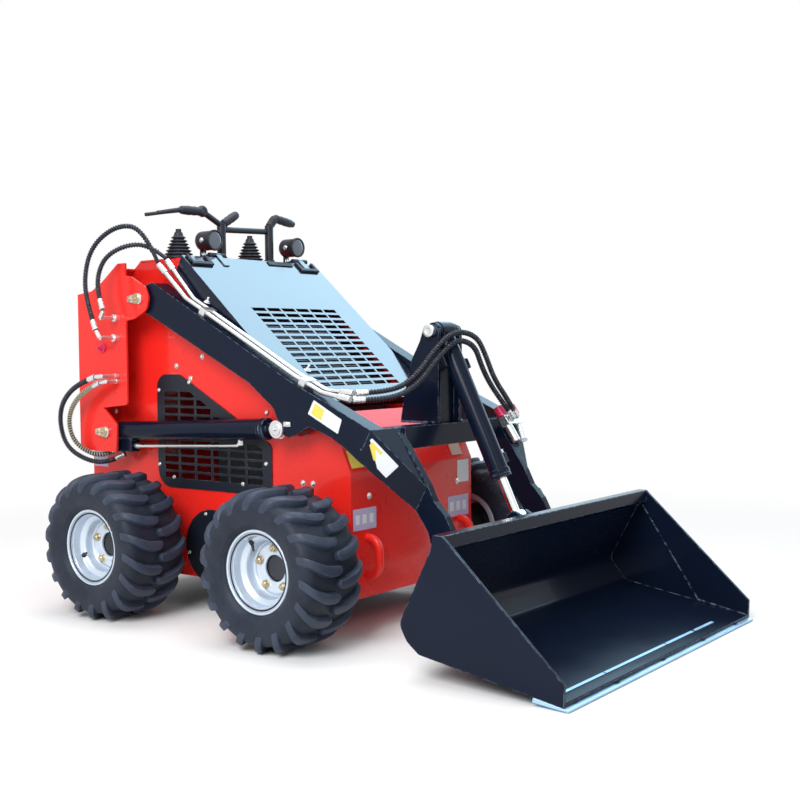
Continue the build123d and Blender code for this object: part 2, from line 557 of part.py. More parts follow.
add("arm_tubes", pipework)

# ---- lift cylinders ----
LIFT_LENGTH = math.dist(LIFT_BASE, LIFT_PIN)
BARREL_END = LIFT_LENGTH - 64
PORT_BLOCK = (429.0, 493.0, 500.0, 545.0)     # y and z limits of the block under each barrel
PORT_HALF = 18.0
BASE_BORE = LIFT_BORE - 4


def cylinder_barrel(base, eye_end, length, radius, rod, x, width):
    """Barrel with its base eye and a bore for the rod."""
    eye = rod_x(base, EYE_RADIUS, x - width / 2, x + width / 2)
    tube = rod_between(along(base, eye_end, 24), along(base, eye_end, length), radius, x)
    barrel = tube + eye
    barrel = barrel - rod_x(base, PIN_RADIUS + RUN_FIT, x - 40, x + 40)
    bore = rod_between(along(base, eye_end, 46), along(base, eye_end, length + 5), rod + RUN_FIT, x)
    return barrel - bore


def cylinder_rod(base, pin, inner_end, rod, x, width, eye_radius):
    """Rod with its eye; the inner end is measured from the barrel's pin."""
    eye = rod_x(pin, eye_radius, x - width / 2, x + width / 2)
    shaft = rod_between(along(base, pin, inner_end), along(pin, base, eye_radius - 6), rod, x)
    return shaft + eye


lift_tube = [(-ARM_MID, PORT_BLOCK[0] - SEAT_GAP, 519), (-ARM_MID, 20, 536), (-ARM_MID, -50, 540),
             (-ARM_MID, -50, 558)]
for side_name, side in SIDES.items():
    barrel = cylinder_barrel(LIFT_BASE, LIFT_PIN, BARREL_END, LIFT_BORE, LIFT_ROD, -ARM_MID, EYE_WIDTH)
    bore = rod_between(along(LIFT_BASE, LIFT_PIN, 30), along(LIFT_BASE, LIFT_PIN, 110), BASE_BORE, -ARM_MID)
    barrel = barrel + (bar(*PORT_BLOCK, -ARM_MID - PORT_HALF, -ARM_MID + PORT_HALF) - bore)
    add(f"lift_tube_{side_name}", mirrored(swept(lift_tube, HARD_TUBE_RADIUS, [0, 16]), side))
    rod = cylinder_rod(LIFT_BASE, LIFT_PIN, 50, LIFT_ROD, -ARM_MID, EYE_WIDTH, EYE_RADIUS)
    add(f"lift_barrel_{side_name}", mirrored(barrel, side))
    add(f"lift_rod_{side_name}", mirrored(rod, side))
lift_cap = rod_x(LIFT_PIN, 26, -ARM_OUT - SEAT_GAP - KEEPER_WALL, -ARM_OUT - SEAT_GAP)
lift_caps = [mirrored(lift_cap, s) for s in SIDES.values()]
add("linkage_pins", rod_x(TILT_TOP, PIN_RADIUS, -CHEEK_OUT - 12, CHEEK_OUT + 12), *lift_caps)

# ---- tilt cylinder ----
TILT_LENGTH = math.dist(TILT_TOP, TILT_PIN)
TILT_BARREL = TILT_LENGTH - 140
PORT_X = 44.0                 # the tube runs this far to the left of the barrel's middle
PORT_RUNS = (112.0, TILT_BARREL - 42)
PORT_SIZE = (34.0, 26.0, 30.0)
tilt_barrel = cylinder_barrel(TILT_TOP, TILT_PIN, TILT_BARREL, TILT_BORE, TILT_ROD, 0, 2 * EYE_HALF)
tilt_axis = (0, TILT_PIN[0] - TILT_TOP[0], TILT_PIN[1] - TILT_TOP[1])
for run in PORT_RUNS:
    port = Plane(origin=(0, *along(TILT_TOP, TILT_PIN, run)), x_dir=(1, 0, 0), z_dir=tilt_axis)
    block = port * Pos(PORT_X - 9, 0, 0) * Box(*PORT_SIZE)
    tilt_barrel = tilt_barrel + (block - port * Cylinder(TILT_BORE - 3, 2 * PORT_SIZE[2]))
add("tilt_barrel", tilt_barrel)
tube_inset = PORT_SIZE[2] / 2 + SEAT_GAP
tube_start = along(TILT_TOP, TILT_PIN, PORT_RUNS[0] + tube_inset)
tube_stop = along(TILT_TOP, TILT_PIN, PORT_RUNS[1] - tube_inset)
add("tilt_tube", strut((PORT_X, *tube_start), (PORT_X, *tube_stop), HARD_TUBE_RADIUS))
add("tilt_rod", cylinder_rod(TILT_TOP, TILT_PIN, 100, TILT_ROD, 0, 36, 24))

# ---- bucket and its attachment plate ----
back_top, back_foot = (-910.0, 333.0), (-813.0, 141.0)
floor_back, floor_front = (-873.0, 72.0), (-1282.0, 10.0)
lip_back, lip_front = (-919.0, 374.0), (-946.0, 374.0)
side_outline = [lip_front, (-1284, 63), floor_front, (-1153, 30), floor_back, (-836, 100), back_foot,
                back_top, lip_back]
side_radii = [0, 0, 0, 0, 20, 40, 30, 10, 0]


def bucket():
    block = plate(side_outline, -BUCKET_HALF, BUCKET_HALF, side_radii)
    t = BUCKET_SHEET
    room = [(lip_front[0] - 40, lip_front[1] + 10), (lip_front[0] - 2, lip_front[1] + 10),
            (lip_front[0] - 2, 340),
            (back_top[0] - 9, 326), (back_foot[0] - t - 2, 146), (floor_back[0] - 4, floor_back[1] + t + 2),
            (-1150, 38), (floor_front[0] + 5, floor_front[1] + t + 2),
            (floor_front[0] - 60, floor_front[1] + t + 3),
            (-1400, 400)]
    return block - plate(room, -BUCKET_HALF + BUCKET_SIDE, BUCKET_HALF - BUCKET_SIDE,
                         [0, 0, 0, 10, 25, 35, 0, 0, 0, 0])


add("bucket", bucket())
floor_bend = (-1153.0, 30.0)
edge_top = [offset_from(floor_front, floor_bend, d, -SEAT_GAP) for d in (-13, 82)]
edge_profile = ((82, EDGE_WALL), (10, 7), (-13, 5))     # distance from the floor's front, thickness
edge_low = [offset_from(floor_front, floor_bend, d, -SEAT_GAP - wall) for d, wall in edge_profile]
add("cutting_edge", plate([*edge_top, *edge_low], -BUCKET_HALF, BUCKET_HALF))
ATTACH_WALL = 10.0
BACK_RUN = math.dist(back_foot, back_top)
EAR_PAIR = ((TIP_OUT + 2, TIP_OUT + 14), (TIP_IN - 14, TIP_IN - 2))     # either side of the arm's thick plate
ATTACH_HALF = 430.0


def off_back(run, height):
    """A point up the bucket's back wall, set off behind it."""
    return offset_from(back_foot, back_top, run, -height)


def attach_plate():
    wall = SEAT_GAP + ATTACH_WALL
    frame = plate([off_back(20, SEAT_GAP), off_back(BACK_RUN - 12, SEAT_GAP), off_back(BACK_RUN - 12, wall),
                   off_back(20, wall)], -ATTACH_HALF, ATTACH_HALF)
    pin, top = BUCKET_PIN, TILT_PIN
    ear = [off_back(30, ATTACH_WALL), off_back(110, ATTACH_WALL), (pin[0] + 4, pin[1] + 34),
           (pin[0] + 34, pin[1] - 4),
           (pin[0] + 4, pin[1] - 34)]
    cheek = [off_back(120, ATTACH_WALL), off_back(BACK_RUN - 14, ATTACH_WALL), (top[0] - 5, top[1] + 27),
             (top[0] + 27, top[1] + 3), (top[0] + 4, top[1] - 30)]
    for side in SIDES.values():
        for x0, x1 in EAR_PAIR:
            one = plate(ear, side * x0, side * x1, [0, 0, 24, 20, 24])
            frame = frame + (one - rod_x(pin, PIN_RADIUS + RUN_FIT, side * x0 - side, side * x1 + side))
        frame = frame + plate(cheek, side * 20, side * 32, [0, 0, 22, 20, 22])
    return frame


add("attach_plate", attach_plate())
bucket_pin = rod_x(BUCKET_PIN, PIN_RADIUS, -TIP_OUT - 20, -TIP_IN + 20)
add("bucket_pins", *[mirrored(bucket_pin, s) for s in SIDES.values()])

# ---- controls on the deck ----
CONTROL_ROW = 300.0
BOOTS = (-265.0, 60.0)
POSTS = (-74.0, 134.0)
LAMPS = (-160.0, 240.0)
POST_RADIUS = 15.0
LAMP_RADIUS = 32.0
LAMP_Z = 1188.0
BELLOWS = 3
deck_seat = DECK_Z + SEAT_GAP


def lever_boot(x):
    """Bellows over a lever, with the lever's stub above it."""
    profile = [(0, 0), (46, 0), (46, 8)]
    for i in range(BELLOWS):
        radius = 42 - 6 * i
        profile += [(radius - 6, 14 + 18 * i), (radius, 24 + 18 * i)]
    profile += [(20, 72), (9, 74), (9, 96), (0, 96)]
    return Pos(x, CONTROL_ROW, deck_seat) * revolve(Plane.XZ * make_face(Polyline(*profile, close=True)),
                                                    axis=Axis.Z)


def post(x, height, limbs):
    """Upright post with its bars: each limb runs between two (x, z) points with a radius."""
    steel = strut((x, CONTROL_ROW, deck_seat), (x, CONTROL_ROW, height), POST_RADIUS)
    for x0, z0, x1, z1, radius in limbs:
        steel = steel + strut((x0, CONTROL_ROW, z0), (x1, CONTROL_ROW, z1), radius)
    return steel


def lamp(x):
    """Round work lamp on a bent bracket."""
    can = rod_y(x, LAMP_Z, LAMP_RADIUS, CONTROL_ROW - 58, CONTROL_ROW - 4)
    bracket = bar(CONTROL_ROW - 4, CONTROL_ROW + 1, deck_seat, LAMP_Z - 12, x - 12, x + 12)
    return can + bracket


add("lever_boots", *[lever_boot(x) for x in BOOTS])
add("control_posts",
    post(POSTS[0], 1252, [(-74, 1246, -160, 1286, 10), (-74, 1246, -2, 1288, 9), (-160, 1285, -250, 1283, 9),
                          (-250, 1283, -400, 1256, 6), (-74, 1232, 134, 1240, 10)]),
    post(POSTS[1] + 22, 1262, [(156, 1256, 186, 1290, 12), (186, 1290, 280, 1276, 11)]))
add("lamps", *[lamp(x) for x in LAMPS])

# ---- manifold with two capped couplers, on the left-hand arm's slope ----
COUPLER_X = ((262.0, 262.0), (330.0, 302.0))      # x at the cap, x at the far end
COUPLER_RADIUS = 13.0
SLOPE_GAP = 4.6             # the thick plate's edge stands this far out of the slope
CAP_RADIUS = 17.0
CAP_LENGTH = 34.0
BLOCK_RUN = (6.0, 40.0)
BLOCK_X = (248.0, 336.0)
BLOCK_HEIGHT = 32.0


def on_slope(x, run, height):
    """A point above the slope that leads down from the bend to the thick plate."""
    return (x, *offset_from(BEND_TOP, TIP_TOP, run, -height))


block = plate([offset_from(BEND_TOP, TIP_TOP, run, -height) for run, height in
               ((BLOCK_RUN[0], SLOPE_GAP), (BLOCK_RUN[1], SLOPE_GAP), (BLOCK_RUN[1], BLOCK_HEIGHT),
                (BLOCK_RUN[0], BLOCK_HEIGHT))], *BLOCK_X)
caps = []
for near, far in COUPLER_X:
    block = block + strut(on_slope(near, BLOCK_RUN[0] + 8, CAP_RADIUS + 1), on_slope(far, 96, CAP_RADIUS + 1),
                          COUPLER_RADIUS)
    caps.append(strut(on_slope(near, BLOCK_RUN[0] - SEAT_GAP, CAP_RADIUS + 1),
                      on_slope(near, BLOCK_RUN[0] - CAP_LENGTH, CAP_RADIUS + 1), CAP_RADIUS))
add("couplers", block)
add("coupler_caps", *caps)

# ---- hydraulic hoses, each a cord of straight runs and tangent arcs ----
HOSES = {
    "hose_lift_rear": [(-465, 484, 745), (-466, 570, 725), (-462, 660, 665), (-452, 690, 590),
                       (-435, 675, 508),
                       (-405, 600, 464), (-372, 535, 461), (-350, 484, 490)],
    "hose_lift_front": [(-448, 482, 727), (-448, 556, 704), (-445, 632, 650), (-438, 662, 588),
                        (-425, 645, 523),
                        (-401, 580, 486), (-372, 535, 489), (-352, 499, 513)],
    "hose_arm_outer": [(-465, 474, 898), (-465, 506, 960), (-465, 530, 1060), (-455, 502, 1166),
                       (-428, 406, 1230),
                       (-391, 322, 1216), (-359, 294, 1107)],
    "hose_arm_inner": [(-465, 438, 963), (-465, 462, 1018), (-462, 460, 1082), (-452, 428, 1134),
                       (-414, 372, 1166),
                       (-364, 326, 1164), (-334, 284, 1122)],
    "hose_coupler_outer": [(-345, -493, 687), (-262, -566, 684), (-168, -590, 728), (-92, -604, 804),
                           (-18, -618, 857), (58, -630, 838), (108, -620, 776), (168, -612, 718),
                           (222, -624, 658),
                           (276, -626, 612)],
    "hose_coupler_inner": [(-320, -484, 705), (-238, -552, 705), (-160, -580, 754), (-98, -594, 824),
                           (-30, -614, 880), (56, -637, 868), (106, -638, 806), (160, -632, 734),
                           (236, -636, 664),
                           (300, -626, 612)],
}


def hose(name, points):
    """Every bend takes 0.45 of its shorter run, so that runs and arcs join without a corner."""
    radii = []
    for before, at, after in zip(points, points[1:], points[2:]):
        into, out = Vector(*at) - Vector(*before), Vector(*after) - Vector(*at)
        half_turn = math.radians(into.get_angle(out)) / 2
        radii.append(0.45 * min(into.length, out.length) / math.tan(half_turn))
    path = FilletPolyline(*points, radius=radii)
    print(name, "length", round(path.length), "tightest bend", round(min(radii)))
    return sweep(Plane(origin=path @ 0, z_dir=path % 0) * RegularPolygon(HOSE_DIAMETER / 2, HOSE_SIDES),
                 path=path)


for name, points in HOSES.items():
    add(name, hose(name, points))

# ---- elbows that join the hoses to the right-hand tower: hole (y, z), elbow and hose end (x, y, z) ----
ELBOWS = [((455, 871), (-465, 471, 893), 12), ((450, 935), (-465, 435, 956), 12),
          ((453, 748), (-465, 480, 746), 8), ((453, 731), (-448, 478, 728), 8)]
fittings = []
for hole, end, collar_radius in ELBOWS:
    start, corner = (-TOWER_HALF - SEAT_GAP, *hole), (end[0], *hole)
    collar = strut(start, lerp3(start, corner, 0.25), collar_radius)
    fittings.append(collar + strut(start, corner, TUBE_RADIUS) + strut(corner, end, TUBE_RADIUS))
add("tower_fittings", *fittings)

os.makedirs("parts", exist_ok=True)
for name, shape in parts.items():
    export_step(shape, f"parts/{name}.step")
print(len(parts), "nodes written")
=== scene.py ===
import json
import math

import bmesh
import bpy
from bpy.props import FloatProperty, FloatVectorProperty, PointerProperty
from mathutils import Matrix, Vector


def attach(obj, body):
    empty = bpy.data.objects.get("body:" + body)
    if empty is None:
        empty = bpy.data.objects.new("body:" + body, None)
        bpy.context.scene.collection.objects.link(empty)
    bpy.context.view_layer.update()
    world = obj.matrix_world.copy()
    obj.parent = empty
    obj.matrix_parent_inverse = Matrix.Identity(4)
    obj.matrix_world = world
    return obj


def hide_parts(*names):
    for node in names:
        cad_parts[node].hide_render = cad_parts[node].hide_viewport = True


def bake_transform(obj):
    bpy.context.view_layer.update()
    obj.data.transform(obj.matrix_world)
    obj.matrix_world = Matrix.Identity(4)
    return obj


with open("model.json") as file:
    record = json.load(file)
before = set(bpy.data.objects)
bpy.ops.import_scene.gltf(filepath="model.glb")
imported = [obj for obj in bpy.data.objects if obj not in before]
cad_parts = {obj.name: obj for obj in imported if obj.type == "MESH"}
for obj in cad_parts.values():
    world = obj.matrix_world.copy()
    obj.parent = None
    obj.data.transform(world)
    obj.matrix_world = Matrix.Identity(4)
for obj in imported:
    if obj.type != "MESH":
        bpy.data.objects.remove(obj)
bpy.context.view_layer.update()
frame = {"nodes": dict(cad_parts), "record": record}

bl_info = {
    "name": "Wheeled mini loader",
    "version": (1, 0, 0),
    "blender": (4, 5, 0),
    "location": "View3D > Sidebar > Loader",
    "description": "Finishes and fittings for a wheeled mini skid steer loader on its CAD frame",
    "category": "Add Mesh",
}

MM = 0.001
SHIFT = 0.2975                # the drawing's mid-wheelbase lies this far behind the row's origin
FINISHES = {}                 # material slot name: material, filled by the finishes operator


def paint(name, description, colour):
    """A colour that a user may change."""
    return FloatVectorProperty(name=name, description=description, default=colour, size=3, subtype="COLOR",
                               min=0, max=1)


class LoaderSettings(bpy.types.PropertyGroup):
    """Colours and sizes that a user may change before the pieces are made"""
    red_paint: paint("Red paint", "Colour of the body's gloss paint", (0.80, 0.020, 0.014))
    black_paint: paint("Black paint", "Colour of the arms, hood and bucket", (0.004, 0.008, 0.021))
    rim_paint: paint("Wheel paint", "Colour of the wheel rims", (0.60, 0.68, 0.78))
    tyre_rubber: paint("Tyre rubber", "Colour of the tyres", (0.014, 0.019, 0.032))
    guard_pitch: FloatProperty(name="Guard pitch", description="Length of hose to each turn of the guard",
                               default=0.009, unit="LENGTH", min=0.004, max=0.03)
    guard_wire: FloatProperty(name="Guard wire", description="Radius of the spiral guard's strand",
                              default=0.0017, unit="LENGTH", min=0.0005, max=0.003)
    key_power: FloatProperty(name="Key light", description="Power of the main lamp", default=230.0,
                             unit="POWER", min=0.0, max=1000.0)


# ---- shared shader groups ----
SOCKET_KINDS = {type(None): "NodeSocketVector", float: "NodeSocketFloat", tuple: "NodeSocketColor"}
BUMP_STRENGTH = 0.6


def feed(tree, node, values):
    """Give a node's inputs, by name or number, a plain value or the output of another node."""
    for label, value in values.items():
        if isinstance(value, bpy.types.NodeSocket):
            tree.links.new(value, node.inputs[label])
        else:
            node.inputs[label].default_value = value


def add(tree, kind, values=None, **settings):
    """A shader node with its settings and its inputs."""
    node = tree.nodes.new("ShaderNode" + kind)
    for name, value in settings.items():
        setattr(node, name, value)
    feed(tree, node, values or {})
    return node


def noise(tree, vector, scale, detail, roughness):
    """Fractal noise."""
    values = {"Vector": vector, "Scale": scale, "Detail": detail, "Roughness": roughness}
    return add(tree, "TexNoise", values).outputs["Fac"]


def maths(tree, operation, a, b, clamp=False):
    """Two values through a math node."""
    return add(tree, "Math", {0: a, 1: b}, operation=operation, use_clamp=clamp).outputs[0]


def ramp(tree, value, low, high, to_low=0.0, to_high=1.0):
    """A smooth step of a value from one range to another."""
    values = {"Value": value, "From Min": low, "From Max": high, "To Min": to_low, "To Max": to_high}
    return add(tree, "MapRange", values, interpolation_type="SMOOTHSTEP").outputs["Result"]


def mix(tree, factor, a, b):
    """A blend of two colours."""
    return add(tree, "Mix", {0: factor, 6: a, 7: b}, data_type="RGBA").outputs[2]


def facing_up(tree):
    """How far a surface looks up, from -1 to 1."""
    return add(tree, "SeparateXYZ", {0: add(tree, "NewGeometry").outputs["Normal"]}).outputs["Z"]


def new_group(name, inputs, outputs):
    """A shader group from its inputs' defaults (none for a vector); returns it, its inputs and its output node."""
    group = bpy.data.node_groups.new(name, "ShaderNodeTree")
    for label, default in inputs.items():
        socket = group.interface.new_socket(label, in_out="INPUT", socket_type=SOCKET_KINDS[type(default)])
        if default is not None:
            socket.default_value = default
    for label, kind in outputs.items():
        group.interface.new_socket(label, in_out="OUTPUT", socket_type="NodeSocket" + kind)
    return group, group.nodes.new("NodeGroupInput").outputs, group.nodes.new("NodeGroupOutput")


def edge_wear_and_highlight_group():
    """A mask along convex edges, broken up by noise; on the black paints its colour is a painted pale-blue highlight,
    on the others wear.
    """
    tree, given, end = new_group("Edge wear_and_highlight", {"Vector": None, "Radius": 0.003, "Amount": 0.5, "Breakup": 60.0},
                                 {"Mask": "Float", "Normal": "Vector"})
    rounded = add(tree, "Bevel", {"Radius": given["Radius"]}, samples=4).outputs[0]
    surface = add(tree, "NewGeometry").outputs["Normal"]
    turned = add(tree, "VectorMath", {0: rounded, 1: surface}, operation="DOT_PRODUCT").outputs["Value"]
    speckle = noise(tree, given["Vector"], given["Breakup"], 4.0, 0.55)
    mask = maths(tree, "MULTIPLY", ramp(tree, turned, 0.998, 0.93), ramp(tree, speckle, 0.42, 0.62))
    feed(tree, end, {"Mask": maths(tree, "MULTIPLY", mask, given["Amount"], clamp=True), "Normal": rounded})
    return tree


def dust_group():
    """Pale dust in clouds, most of all on faces that look up."""
    tree, given, end = new_group("Settled dust", {
        "Vector": None, "Colour": (0.1, 0.1, 0.1, 1), "Dust": (0.42, 0.43, 0.46, 1), "Amount": 0.2,
        "Scale": 14.0}, {"Colour": "Color", "Mask": "Float"})
    cloud = ramp(tree, noise(tree, given["Vector"], given["Scale"], 6.0, 0.65), 0.35, 0.75)
    mask = maths(tree, "MULTIPLY", ramp(tree, facing_up(tree), 0.1, 1.0, 0.35, 1.0), cloud)
    mask = maths(tree, "MULTIPLY", mask, given["Amount"], clamp=True)
    feed(tree, end, {"Colour": mix(tree, mask, given["Colour"], given["Dust"]), "Mask": mask})
    return tree


def grain_group():
    """Small-scale variation: a shade for the colour, a roughness and a height."""
    tree, given, end = new_group("Surface grain", {
        "Vector": None, "Colour": (0.5, 0.5, 0.5, 1), "Shade": 0.15, "Roughness": 0.4, "Spread": 0.1,
        "Fine": 350.0, "Broad": 6.0}, {"Colour": "Color", "Roughness": "Float", "Height": "Float"})
    centred = maths(tree, "SUBTRACT", noise(tree, given["Vector"], given["Broad"], 4.0, 0.6), 0.5)

    def around(middle, amount, clamp=False):
        swing = maths(tree, "MULTIPLY", maths(tree, "MULTIPLY", centred, given[amount]), 2.0)
        return maths(tree, "ADD", swing, middle, clamp)

    shaded = {0: given["Colour"], "Scale": around(1.0, "Shade")}
    feed(tree, end, {"Colour": add(tree, "VectorMath", shaded, operation="SCALE").outputs[0],
                     "Roughness": around(given["Roughness"], "Spread", clamp=True),
                     "Height": noise(tree, given["Vector"], given["Fine"], 2.0, 0.5)})
    return tree


GROUPS = {"wear_and_highlight": edge_wear_and_highlight_group(), "dust": dust_group(), "grain": grain_group()}


def finish(name, colour, rough, metallic=0.0, coat=0.0, coat_rough=0.05, specular=0.5, coat_ior=1.5,
           coat_up=None, shade=0.12, spread=0.08, fine=350.0, bump=0.0006, wear_and_highlight=0.0,
           worn_and_highlight_colour=(0.35, 0.36, 0.38), dust=0.0, dust_colour=(0.42, 0.43, 0.46)):
    """Grain, dust and an edge colour over one Principled shader, where the edge colour is wear on some finishes and a
    painted highlight on the black paints; coat_up is the coat on faces that look up.
    """
    material = bpy.data.materials.new(name)
    material.use_nodes = True
    tree = material.node_tree
    place = add(tree, "TexCoord").outputs["Object"]

    def shared(key, **values):
        return add(tree, "Group", {"Vector": place, **values}, node_tree=GROUPS[key]).outputs

    grain = shared("grain", Colour=(*colour, 1), Shade=shade, Roughness=rough, Spread=spread, Fine=fine)
    edge = shared("wear_and_highlight", Amount=wear_and_highlight)
    top = grain["Colour"]
    if dust:
        top = shared("dust", Colour=top, Dust=(*dust_colour, 1), Amount=dust)["Colour"]
    if wear_and_highlight:
        # edge colour: wear, and on the black paints a painted pale-blue highlight
        top = mix(tree, edge["Mask"], top, (*worn_and_highlight_colour, 1))
    relief = add(tree, "Bump", {"Distance": bump, "Strength": BUMP_STRENGTH, "Height": grain["Height"],
                                "Normal": edge["Normal"]})
    shader = tree.nodes["Principled BSDF"]
    feed(tree, shader, {"Base Color": top, "Roughness": grain["Roughness"], "Normal": relief.outputs[0],
                        "Metallic": metallic, "Coat Weight": coat, "Coat Roughness": coat_rough,
                        "Coat IOR": coat_ior, "Specular IOR Level": specular})
    if coat_up is not None:
        feed(tree, shader, {"Coat Weight": ramp(tree, facing_up(tree), 0.3, 0.6, coat, coat_up)})
    return material


# colour and grain of each blank label
LABEL_COLOURS = {"white": ((0.74, 0.77, 0.80), 0.03), "yellow": ((0.78, 0.62, 0.09), 0.03),
                 "lilac": ((0.50, 0.44, 0.66), 0.04), "tan": ((0.62, 0.40, 0.30), 0.04)}


def make_finishes(settings):
    """Every finish by the name of its material slot, and those that only new pieces use."""
    FINISHES.update({
        "red_paint": finish("Red gloss paint", tuple(settings.red_paint), 0.28, coat=0.25, specular=0.25,
                            wear_and_highlight=0.35, worn_and_highlight_colour=(0.55, 0.16, 0.16), shade=0.05, bump=0.0003),
        # its pale-blue edge colour is a painted highlight, not wear
        "black_paint": finish("Black gloss paint", tuple(settings.black_paint), 0.22, coat=0.08, specular=0.1,
                              wear_and_highlight=0.55, worn_and_highlight_colour=(0.32, 0.44, 0.62), bump=0.0003, shade=0.2),
        # its pale-blue edge colour is a painted highlight, not wear
        "hood_paint": finish("Black gloss hood paint", tuple(settings.black_paint), 0.2, coat=0.06, coat_up=1.0,
                             coat_ior=2.35, specular=0.15, wear_and_highlight=0.4, worn_and_highlight_colour=(0.5, 0.66, 0.82), bump=0.0002,
                             coat_rough=0.12),
        "grille_black": finish("Black satin paint", (0.008, 0.011, 0.020), 0.38, specular=0.3, wear_and_highlight=0.4,
                               worn_and_highlight_colour=(0.20, 0.24, 0.30)),
        "rim_silver": finish("Silver wheel paint", tuple(settings.rim_paint), 0.33, metallic=0.55, coat=0.2,
                             dust=0.15),
        "tyre": finish("Tyre rubber", tuple(settings.tyre_rubber), 0.5, specular=0.2, shade=0.3, dust=0.14,
                       bump=0.0015, fine=180.0, dust_colour=(0.20, 0.24, 0.31)),
        # The lugs are the tyre rubber made twice as light, a painted highlight on the lug tops. Their bluish edge and
        # dust colours are partly wear and dust and partly the same painted highlight.
        "lug": finish("Lug rubber with painted highlight", tuple(channel * 2.0 for channel in settings.tyre_rubber), 0.45,
                      specular=0.25, shade=0.25, dust=0.2, bump=0.001, fine=180.0, wear_and_highlight=0.5, worn_and_highlight_colour=(0.11, 0.14, 0.20),
                      dust_colour=(0.20, 0.26, 0.36)),
        "zinc": finish("Zinc plate", (0.72, 0.73, 0.74), 0.28, metallic=0.9),
        # the steel's pale blue colour is a painted reflection of the pale-blue studio light
        "steel": finish("Worn steel with painted reflection", (0.42, 0.62, 0.82), 0.38, metallic=0.8, shade=0.25, spread=0.2),
        "chrome": finish("Hard chrome", (0.80, 0.82, 0.85), 0.10, metallic=1.0, bump=0.0001),
        "iron": finish("Painted casting", (0.020, 0.023, 0.030), 0.5, metallic=0.2, bump=0.0015, fine=220.0,
                       dust=0.1),
        "rubber": finish("Moulded rubber", (0.008, 0.010, 0.018), 0.5, specular=0.35, dust=0.06),
        "hose_rubber": finish("Hydraulic hose", (0.008, 0.011, 0.022), 0.42, specular=0.35),
        "plastic": finish("Moulded plastic", (0.008, 0.010, 0.018), 0.36, specular=0.35),
        "cap_red": finish("Red moulded cap", (0.62, 0.02, 0.10), 0.35, shade=0.08),
        "lamp_lens": finish("Clear lens", (0.06, 0.08, 0.12), 0.10, coat=1.0, bump=0.0001),
        "hose_guard": finish("Spiral guard", (0.010, 0.014, 0.026), 0.30, coat=0.3, bump=0.0002),
        "guard_pale": finish("Pale spiral guard", (0.50, 0.49, 0.34), 0.40, bump=0.0002),
        **{"label_" + name: finish(f"Blank {name} label", colour, 0.38, shade=shade, bump=0.0001)
           for name, (colour, shade) in LABEL_COLOURS.items()},
        "core_grey": finish("Cooler core", (0.20, 0.24, 0.30), 0.45, metallic=0.6, shade=0.25),
        "brass": finish("Yellow zinc plate", (0.52, 0.43, 0.27), 0.32, metallic=0.85, shade=0.2),
    })


# ---- stage ----
CAMERA_AT = Vector((-2.89241, -2.3119, 0.83385))
CAMERA_HEADING, CAMERA_PITCH, CAMERA_ROLL = (math.radians(a) for a in (-52.53133, -2.56192, 0.51015))
CAMERA_LENS, CAMERA_SENSOR = 53.417, 36.0
FLOOR_HALF = 30.0
FLOOR_NEAR, FLOOR_FAR = 1.2, 3.6      # the floor turns from lit to plain white between these
FLOOR_COLOUR, FLOOR_ROUGH = (0.93, 0.935, 0.94, 1), 0.9
WHITE = (1.0, 1.0, 1.0, 1)
WORLD_LIGHT = 0.44                    # its strength on surfaces; seen or mirrored, the world is plain white
MACHINE_MIDDLE, HOOD_MIDDLE = (0, 0, 0.45), (0, 0.1, 0.9)
SKY_BLUE = (0.34, 0.72, 1.0)
# place, size and power of each lamp that points at the machine; the key lamp's power is a setting
LAMP_SETUP = {"key": ((-4.2, -1.2, 3.4), 2.6, None), "fill": ((-2.0, -4.4, 2.4), 2.4, 16),
              "top": ((0.4, 0.2, 4.2), 3.0, 90)}
CARD_PLACE, CARD_SIZE, CARD_POWER = (4.4, 0.4, 3.6), 5.0, 185


def mesh_from(name, mesh):
    """Turn a bmesh into mesh data, and free it."""
    data = bpy.data.meshes.new(name)
    mesh.to_mesh(data)
    mesh.free()
    return data


def seen_rays(tree):
    """1 for camera, glossy and transmission rays, and 0 for the light that falls on surfaces."""
    path = add(tree, "LightPath").outputs
    seen = maths(tree, "MAXIMUM", path["Is Camera Ray"], path["Is Glossy Ray"])
    return maths(tree, "MAXIMUM", seen, path["Is Transmission Ray"])


def add_camera(scene):
    """The camera, turned by heading, pitch and roll."""
    level = math.cos(CAMERA_PITCH)
    forward = Vector((-math.sin(CAMERA_HEADING) * level, math.cos(CAMERA_HEADING) * level,
                      math.sin(CAMERA_PITCH)))
    right = forward.cross(Vector((0, 0, 1))).normalized()
    up = right.cross(forward)
    c, s = math.cos(CAMERA_ROLL), math.sin(CAMERA_ROLL)
    right, up = right * c - up * s, right * s + up * c
    camera = bpy.data.objects.new("camera", bpy.data.cameras.new("camera"))
    camera.matrix_world = Matrix.Translation(CAMERA_AT) @ Matrix((right, up, -forward)).transposed().to_4x4()
    camera.data.lens = CAMERA_LENS
    camera.data.sensor_width = CAMERA_SENSOR
    scene.collection.objects.link(camera)
    scene.camera = camera


def floor_material():
    """A pale floor that takes shadows near the machine and is plain white to the eye further off."""
    pale = bpy.data.materials.new("Pale floor")
    pale.use_nodes = True
    tree = pale.node_tree
    shader = tree.nodes["Principled BSDF"]
    feed(tree, shader, {"Base Color": FLOOR_COLOUR, "Roughness": FLOOR_ROUGH})
    place = add(tree, "TexCoord").outputs["Object"]
    reach = add(tree, "VectorMath", {0: place}, operation="LENGTH").outputs["Value"]
    plain = maths(tree, "MULTIPLY", ramp(tree, reach, FLOOR_NEAR, FLOOR_FAR), seen_rays(tree))
    white = add(tree, "Emission", {"Color": WHITE})
    blend = add(tree, "MixShader", {0: plain, 1: shader.outputs[0], 2: white.outputs[0]})
    feed(tree, tree.nodes["Material Output"], {"Surface": blend.outputs[0]})
    return pale


